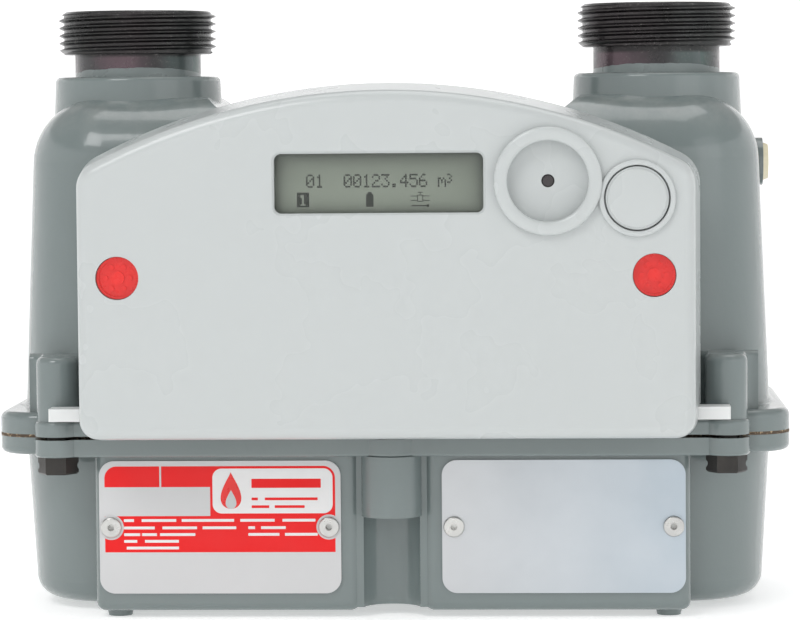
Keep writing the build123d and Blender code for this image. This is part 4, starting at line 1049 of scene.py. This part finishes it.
class Symbol(Enum):
    """The display's symbols as flat bars: left, right, bottom and top, in millimetres."""

    TARIFF = ((-22.6, -21.6, -2.0, 2.0), (-20.2, -19.2, -2.0, 2.0), (-21.6, -20.2, 1.3, 2.0),
              (-21.6, -20.2, -2.0, -1.6), (-21.6, -21.15, -1.2, 0.5), (-20.65, -20.2, -1.2, 1.3))
    BATTERY = ((-3.6, -1.6, -2.0, 1.5), (-3.1, -2.1, 1.5, 2.0))
    FLOW = ((8.6, 10.4, 0.75, 0.95), (12.0, 13.8, 0.75, 0.95), (8.6, 10.4, -0.45, -0.25),
            (12.0, 13.8, -0.45, -0.25), (10.4, 10.6, -0.7, 1.2), (11.8, 12.0, -0.7, 1.2),
            (10.6, 11.8, 1.0, 1.2), (10.6, 11.8, -0.7, -0.5), (11.1, 11.3, 1.2, 1.9),
            (10.5, 11.9, 1.75, 1.95), (8.8, 13.6, -1.95, -1.65), (13.0, 13.6, -2.15, -1.45))


@dataclass
class DisplayPrint:
    """The figures and symbols that the liquid-crystal panel shows."""

    dot: float = 0.43 * MM
    pitch: float = 0.46 * MM
    letter_gap: float = 1.12
    thickness: float = 0.03 * MM
    gap: float = 0.2 * MM
    corner: float = 1.0 * MM
    reading_aside: float = 0.8 * MM
    reading_lift: float = 0.6 * MM
    symbols_drop: float = 4.5 * MM
    stretch: float = 1.15
    reading: tuple[Glyph, ...] = (
        Glyph.ZERO, Glyph.ONE, Glyph.SPACE, Glyph.SPACE, Glyph.ZERO, Glyph.ZERO, Glyph.ONE, Glyph.TWO,
        Glyph.THREE, Glyph.POINT, Glyph.FOUR, Glyph.FIVE, Glyph.SIX, Glyph.SPACE, Glyph.METRE, Glyph.CUBED)

    def dots(self, middle: Point, face: float) -> list[Point]:
        """Returns the middles of the dots that are dark.

        Args:
            middle: The middle of the reading, as the X and Z of a point.
            face: The Y of the panel's front.

        Returns:
            The list of points.
        """
        step = self.pitch * 5 * self.letter_gap
        start = middle[0] - step * len(self.reading) / 2
        places = []
        for index, glyph in enumerate(self.reading):
            for row, line in enumerate(glyph.value):
                for column, mark in enumerate(line):
                    if mark == "#":
                        places.append((start + index * step + column * self.pitch,
                                       face - self.thickness / 2,
                                       middle[2] + (3 - row) * self.pitch * self.stretch))
        return places

    def build_panel(self, finish: bpy.types.Material) -> float:
        """Builds the panel that stands for the plain module, a hair behind the pane.

        Args:
            finish: The panel's finish.

        Returns:
            The Y of the panel's front face.
        """
        low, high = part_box("lcd_module")
        front = low.y + self.gap
        shapes = bmesh.new()
        add_bar(shapes, low.x, high.x, front, high.y, low.z, high.z)
        edges = [edge for edge in shapes.edges if abs(edge.verts[0].co.y - edge.verts[1].co.y) > MM]
        bmesh.ops.bevel(shapes, geom=edges, offset=self.corner, segments=4, affect="EDGES", profile=0.5)
        panel = shaped("display_panel", shapes, finish)
        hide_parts("lcd_module")
        finish_piece(panel, "meter")
        return front

    def build(self, tree: ScatterTree, ink: bpy.types.Material, panel_finish: bpy.types.Material) -> None:
        """Builds the panel, the reading and the row of symbols below it.

        Args:
            tree: The tree that sets the dots.
            ink: The dark finish.
            panel_finish: The panel's finish.
        """
        low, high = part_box("lcd_window")
        centre = (low + high) / 2
        face = self.build_panel(panel_finish)
        middle = (centre.x + self.reading_aside, face, centre.z + self.reading_lift)
        reading = tree.scatter("display_reading", self.dots(middle, face),
                               (self.dot, self.thickness, self.dot * self.stretch), ink)
        finish_piece(reading, "meter")
        self.build_symbols(centre.x, face, centre.z - self.symbols_drop, ink)

    def build_symbols(self, middle_x: float, face: float, base_z: float, ink: bpy.types.Material) -> None:
        """Builds the boxed tariff figure, the battery and the flow symbol.

        Args:
            middle_x: The X of the panel's middle.
            face: The Y of the panel's front.
            base_z: The Z of the symbols' middle.
            ink: The dark finish.
        """
        shapes = bmesh.new()
        for symbol in Symbol:
            for left, right, bottom, top in symbol.value:
                add_bar(shapes, middle_x + left * MM, middle_x + right * MM, face - self.thickness, face,
                        base_z + bottom * MM, base_z + top * MM)
        finish_piece(shaped("display_symbols", shapes, ink), "meter")


def add_bar(shapes: bmesh.types.BMesh, left: float, right: float, front: float, back: float,
            bottom: float, top: float) -> None:
    """Adds one closed rectangular bar to a mesh.

    Args:
        shapes: The mesh being built.
        left: Lowest X.
        right: Highest X.
        front: Lowest Y.
        back: Highest Y.
        bottom: Lowest Z.
        top: Highest Z.
    """
    middle = Vector(((left + right) / 2, (front + back) / 2, (bottom + top) / 2))
    size = Vector((right - left, back - front, top - bottom))
    stand = Matrix.Translation(middle) @ Matrix.Diagonal((*size, 1.0))
    bmesh.ops.create_cube(shapes, size=1.0, matrix=stand)


def finish_piece(piece: bpy.types.Object, body: str) -> None:
    """Makes a piece ride on its body and reports it.

    Args:
        piece: The finished piece.
        body: The CAD body that it moves with.
    """
    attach(piece, body)
    LOG.info("%s: %d faces, rides on %s", piece.name, len(piece.data.polygons), body)


# ---- Cover --------------------------------------------------------------------------------------


@dataclass
class Crown:
    """A ring or cap with a softly domed front, turned about an axis that runs front to back."""

    name: str
    base: Vector
    outer: float
    inner: float
    height: float
    spokes: int = 96
    steps: int = 14
    sink: float = 0.05 * MM
    weld: float = 0.005 * MM

    def profile(self) -> list[Point]:
        """Returns the profile's points, from the outer edge inwards over the dome."""
        points = [(self.outer, self.sink, 0.0)]
        reach = self.outer - self.inner
        for step in range(self.steps + 1):
            share = step / self.steps
            turn = math.pi * share if self.inner else math.pi / 2 * share
            inwards = (1 - math.cos(turn)) / 2 if self.inner else share
            rise = math.sin(turn) ** (0.8 if self.inner else 1.0)
            points.append((self.outer - reach * inwards, -self.height * rise, 0.0))
        points.append((self.inner, self.sink, 0.0))
        return points

    def build(self, finish: bpy.types.Material) -> bpy.types.Object:
        """Builds the closed piece, its flat back just inside the face that carries it.

        Args:
            finish: The piece's finish.

        Returns:
            The piece.
        """
        points = self.profile()
        edges = [(index, (index + 1) % len(points)) for index in range(len(points))]
        outline = bpy.data.meshes.new(self.name + "_outline")
        outline.from_pydata(points, edges, [])
        source = mesh_object(self.name + "_source", outline, finish)
        turned = source.modifiers.new("turn", "SCREW")
        turned.axis = "Y"
        turned.steps = turned.render_steps = self.spokes
        turned.use_merge_vertices = True
        turned.merge_threshold = 2 * self.weld
        piece = baked(source, self.name, finish)
        shapes = bmesh.new()
        shapes.from_mesh(piece.data)
        bmesh.ops.remove_doubles(shapes, verts=shapes.verts, dist=self.weld)
        bmesh.ops.dissolve_degenerate(shapes, edges=shapes.edges, dist=self.weld / 5)
        bmesh.ops.recalc_face_normals(shapes, faces=shapes.faces)
        shapes.to_mesh(piece.data)
        shapes.free()
        piece.data.transform(Matrix.Translation(self.base))
        piece.data.shade_smooth()
        return piece


@dataclass
class CoverCrowns:
    """The soft edges of the optical port and of the button's collar, and the button's crowned face."""

    port_outer: float = 14.75 * MM
    port_inner: float = 11.05 * MM
    port_height: float = 0.9 * MM
    collar_outer: float = 10.45 * MM
    collar_inner: float = 9.05 * MM
    collar_height: float = 0.45 * MM
    cap_radius: float = 8.2 * MM
    cap_height: float = 0.5 * MM

    def build(self, cover: bpy.types.Material) -> None:
        """Builds the three pieces.

        Args:
            cover: The cover's finish.
        """
        port = sum(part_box("port_lens"), Vector()) / 2
        port.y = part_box("front_cover")[0].y
        cap = sum(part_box("button_cap"), Vector()) / 2
        cap.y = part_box("button_cap")[0].y
        ring = Crown("port_ring", port, self.port_outer, self.port_inner, self.port_height)
        collar = Crown("button_collar", cap, self.collar_outer, self.collar_inner, self.collar_height)
        crown = Crown("button_crown", cap, self.cap_radius, 0.0, self.cap_height)
        for piece, body in ((ring, "meter"), (collar, "meter"), (crown, "button")):
            finish_piece(piece.build(cover), body)


# ---- Rating plate -------------------------------------------------------------------------------


@dataclass
class GasSymbol:
    """A plain drop-shaped flame on the rating plate, the usual sign for gas."""

    aside: float = 3.2 * MM
    lift: float = 10.1 * MM
    half_width: float = 4.1 * MM
    half_height: float = 5.2 * MM
    thickness: float = 0.04 * MM
    steps: int = 64

    def outline(self, middle: Point, share: float) -> list[Point]:
        """Returns the drop's outline, its point at the top.

        Args:
            middle: The middle of the symbol on the plate's face.
            share: Size against the full symbol; a smaller drop stands on the same base.

        Returns:
            Points round the drop.
        """
        base = middle[2] - self.half_height
        points = []
        for step in range(self.steps):
            turn = 2 * math.pi * step / self.steps
            aside = self.half_width * math.sin(turn) * abs(math.sin(turn / 2)) ** 1.4
            lift = self.half_height * (1 + math.cos(turn))
            points.append((middle[0] + share * aside, middle[1], base + share * lift + 0.3 * MM))
        return points

    def build(self, red: bpy.types.Material, white: bpy.types.Material) -> None:
        """Builds the red drop and the white one inside it.

        Args:
            red: The outer drop's finish.
            white: The inner drop's finish.
        """
        low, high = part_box("rating_plate")
        plate_middle = (low + high) / 2
        for name, share, material, slot, rank in (("gas_symbol_outer", 1.0, red, "plug_red", 1),
                                                  ("gas_symbol_inner", 0.52, white, "cover_plastic", 2)):
            middle = (plate_middle.x + self.aside, low.y - rank * self.thickness,
                      plate_middle.z + self.lift)
            shapes = bmesh.new()
            drop = shapes.faces.new([shapes.verts.new(point) for point in self.outline(middle, share)])
            solid = bmesh.ops.extrude_face_region(shapes, geom=[drop])
            raised = [item for item in solid["geom"] if isinstance(item, bmesh.types.BMVert)]
            bmesh.ops.translate(shapes, verts=raised, vec=(0, self.thickness, 0))
            bmesh.ops.recalc_face_normals(shapes, faces=shapes.faces)
            finish_piece(shaped(name, shapes, material), "meter")


# ---- Board --------------------------------------------------------------------------------------


@dataclass
class BoardParts:
    """The small parts soldered to the front of the main board."""

    columns: int = 9
    rows: int = 5
    spacing_x: float = 5.2 * MM
    spacing_z: float = 4.4 * MM
    chip: Point = (2.4 * MM, 0.9 * MM, 1.3 * MM)
    lift: float = 12 * MM
    left_block: float = 62 * MM
    right_block: float = 112 * MM
    right_columns: int = 5
    seed: int = 11

    def build(self, tree: ScatterTree, body_finish: bpy.types.Material) -> None:
        """Builds the chips in two blocks on the free parts of the board.

        Args:
            tree: The tree that sets the parts.
            body_finish: The chips' finish.
        """
        low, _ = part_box("main_board")
        places = []
        for left, columns in ((self.left_block, self.columns), (self.right_block, self.right_columns)):
            for column in range(columns):
                for row in range(self.rows):
                    if (column * 3 + row * 5) % 4:
                        places.append((low.x + left + column * self.spacing_x, low.y - self.chip[1] / 2,
                                       low.z + self.lift + row * self.spacing_z))
        parts = tree.scatter("board_parts", places, self.chip, body_finish, 0.3, self.seed)
        finish_piece(parts, "meter")


# ---- Dressing of the CAD nodes ------------------------------------------------------------------


@dataclass
class MeterDresser:
    """Gives every CAD node the finish that its record slot names."""

    nodes: dict[str, bpy.types.Object]
    record: dict
    materials: dict[str, bpy.types.Material] = field(default_factory=dict)
    rivet_head: float = 2.95 * MM
    paint_lift: float = 0.5 * MM
    glass_margin: float = 2 * MM

    def build_materials(self, shared: SharedEffects) -> None:
        """Builds one material for each slot.

        Args:
            shared: The node groups that finishes share.
        """
        plate, blank, glass, neck = (
            sum(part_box(node), Vector()) / 2
            for node in ("rating_plate", "blank_plate", "lcd_window", "inlet_ferrule"))
        glass_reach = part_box("lcd_window")[1] - glass
        boss_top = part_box("upper_case")[1].z
        first_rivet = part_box("plate_rivets")[0].x + self.rivet_head
        special = (
            BluedSteel(boss_top + self.paint_lift, neck.y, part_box("inlet_ferrule")[1].y - neck.y),
            ClearPane(),
            DisplayGlass(tuple(glass), glass_reach.x - self.glass_margin,
                         glass_reach.z - self.glass_margin),
            BrushedPlate(tuple(blank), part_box("blank_plate")[1].x - blank.x),
            PrintedPlate(tuple(plate), rivet_offset=abs(first_rivet - plate.x)),
            BoardLaminate(),
        )
        for finish in (*PLAIN_FINISHES, *special):
            self.materials[finish.name] = finish.build(shared)

    def dress(self) -> None:
        """Assigns each node's material from the record."""
        for part in self.record["subparts"]:
            mesh = self.nodes[part["node"]].data
            mesh.materials.clear()
            mesh.materials.append(self.materials[part["material_slot"]])
            LOG.info("%s wears %s", part["node"], part["material_slot"])


# ---- Studio -------------------------------------------------------------------------------------


@dataclass(frozen=True)
class SoftBox:
    """One square area light, aimed at the meter."""

    name: str
    place: Point
    size: float
    power: float


@dataclass
class Studio:
    """Pale floor, soft light and the camera."""

    camera_place: Point = (48.4 * MM, -989.0 * MM, 145.0 * MM)
    turn: float = 2.743
    tilt: float = 3.487
    roll: float = -0.479
    lens: float = 153.0
    sensor: float = 36.0
    floor_radius: float = 2.2
    sweep_radius: float = 0.8
    wall_height: float = 1.4
    rim_steps: int = 96
    sweep_steps: int = 12
    sky: float = 0.42
    aim: Point = (0.0, 0.0, 0.09)
    boxes: tuple[SoftBox, ...] = (
        SoftBox("studio_key", (-0.55, -1.0, 1.15), 0.6, 6.4),
        SoftBox("studio_fill", (0.9, -0.9, 0.55), 0.8, 1.4),
        SoftBox("studio_top", (0.1, 0.15, 1.4), 0.9, 5.0),
    )
    glow: float = 0.46

    def build(self) -> None:
        """Builds the floor, the lights, the surroundings and the camera."""
        self.build_floor()
        self.build_world()
        self.build_lights()
        self.build_camera()

    def build_floor(self) -> None:
        """Builds the pale floor, which curves up into a low wall all round."""
        profile = [(0.01, 0.0), (self.floor_radius, 0.0)]
        for step in range(1, self.sweep_steps + 1):
            turn = math.radians(90) * step / self.sweep_steps
            profile.append((self.floor_radius + self.sweep_radius * math.sin(turn),
                            self.sweep_radius * (1 - math.cos(turn))))
        profile.append((self.floor_radius + self.sweep_radius, self.wall_height))
        points, faces = [], []
        for spoke in range(self.rim_steps):
            turn = 2 * math.pi * spoke / self.rim_steps
            points += [(radius * math.cos(turn), radius * math.sin(turn), height)
                       for radius, height in profile]
        count = len(profile)
        for spoke in range(self.rim_steps):
            here, there = spoke * count, (spoke + 1) % self.rim_steps * count
            faces += [(here + k, here + k + 1, there + k + 1, there + k) for k in range(count - 1)]
        faces.append(tuple(spoke * count for spoke in range(self.rim_steps)))
        mesh = bpy.data.meshes.new("studio_floor")
        mesh.from_pydata(points, [], faces)
        mesh.shade_smooth()
        material, bench, shader = blank_material("studio_floor")
        tone = bench.noise(bench.place(), 3.0, 2.0)
        bench.join(bench.blend(tone, rgba((0.88, 0.88, 0.88)), rgba((0.90, 0.90, 0.90))),
                   shader.inputs["Base Color"])
        shader.inputs["Roughness"].default_value = 0.8
        shader.inputs["Emission Color"].default_value = (1.0, 1.0, 1.0, 1.0)
        shader.inputs["Emission Strength"].default_value = self.glow
        mesh_object("studio_floor", mesh, material)

    def build_world(self) -> None:
        """Sets bright, even surroundings."""
        world = bpy.data.worlds.new("studio")
        world.use_nodes = True
        background = world.node_tree.nodes["Background"]
        background.inputs["Color"].default_value = (1.0, 1.0, 1.0, 1.0)
        background.inputs["Strength"].default_value = self.sky
        bpy.context.scene.world = world
        bpy.context.scene.view_settings.view_transform = "Standard"

    def build_lights(self) -> None:
        """Sets the soft lights."""
        for box in self.boxes:
            light = bpy.data.lights.new(box.name, "AREA")
            light.size = box.size
            light.energy = box.power
            lamp = bpy.data.objects.new(box.name, light)
            lamp.location = box.place
            aim = Vector(self.aim) - Vector(box.place)
            lamp.rotation_euler = aim.to_track_quat("-Z", "Y").to_euler()
            bpy.context.scene.collection.objects.link(lamp)

    def build_camera(self) -> None:
        """Sets the camera in front of the meter, a little to the right and above it."""
        turn, tilt, roll = (math.radians(angle) for angle in (self.turn, self.tilt, self.roll))
        forward = Vector((-math.sin(turn) * math.cos(tilt), math.cos(turn) * math.cos(tilt),
                          -math.sin(tilt)))
        right = Vector((math.cos(turn), math.sin(turn), 0.0))
        up = right.cross(forward)
        rolled_right = math.cos(roll) * right + math.sin(roll) * up
        rolled_up = math.cos(roll) * up - math.sin(roll) * right
        axes = Matrix((rolled_right, rolled_up, -forward)).transposed().to_4x4()
        data = bpy.data.cameras.new("camera")
        data.lens = self.lens
        data.sensor_width = self.sensor
        camera = bpy.data.objects.new("camera", data)
        camera.matrix_world = Matrix.Translation(self.camera_place) @ axes
        bpy.context.scene.collection.objects.link(camera)
        bpy.context.scene.camera = camera


def main() -> None:
    """Loads the frame, dresses it, adds the printed detail and sets the studio."""
    logging.basicConfig(level=logging.INFO, format="%(name)s: %(message)s")
    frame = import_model()
    shared = SharedEffects()
    dresser = MeterDresser(frame["nodes"], frame["record"])
    dresser.build_materials(shared)
    dresser.dress()
    blocks = ScatterTree("Set Blocks")
    DisplayPrint().build(blocks, DISPLAY_INK.build(shared), dresser.materials["display_body"])
    GasSymbol().build(dresser.materials["plug_red"], dresser.materials["cover_plastic"])
    CoverCrowns().build(dresser.materials["cover_plastic"])
    BoardParts().build(blocks, dresser.materials["dark_plastic"])
    Studio().build()


if __name__ == "__main__":
    main()
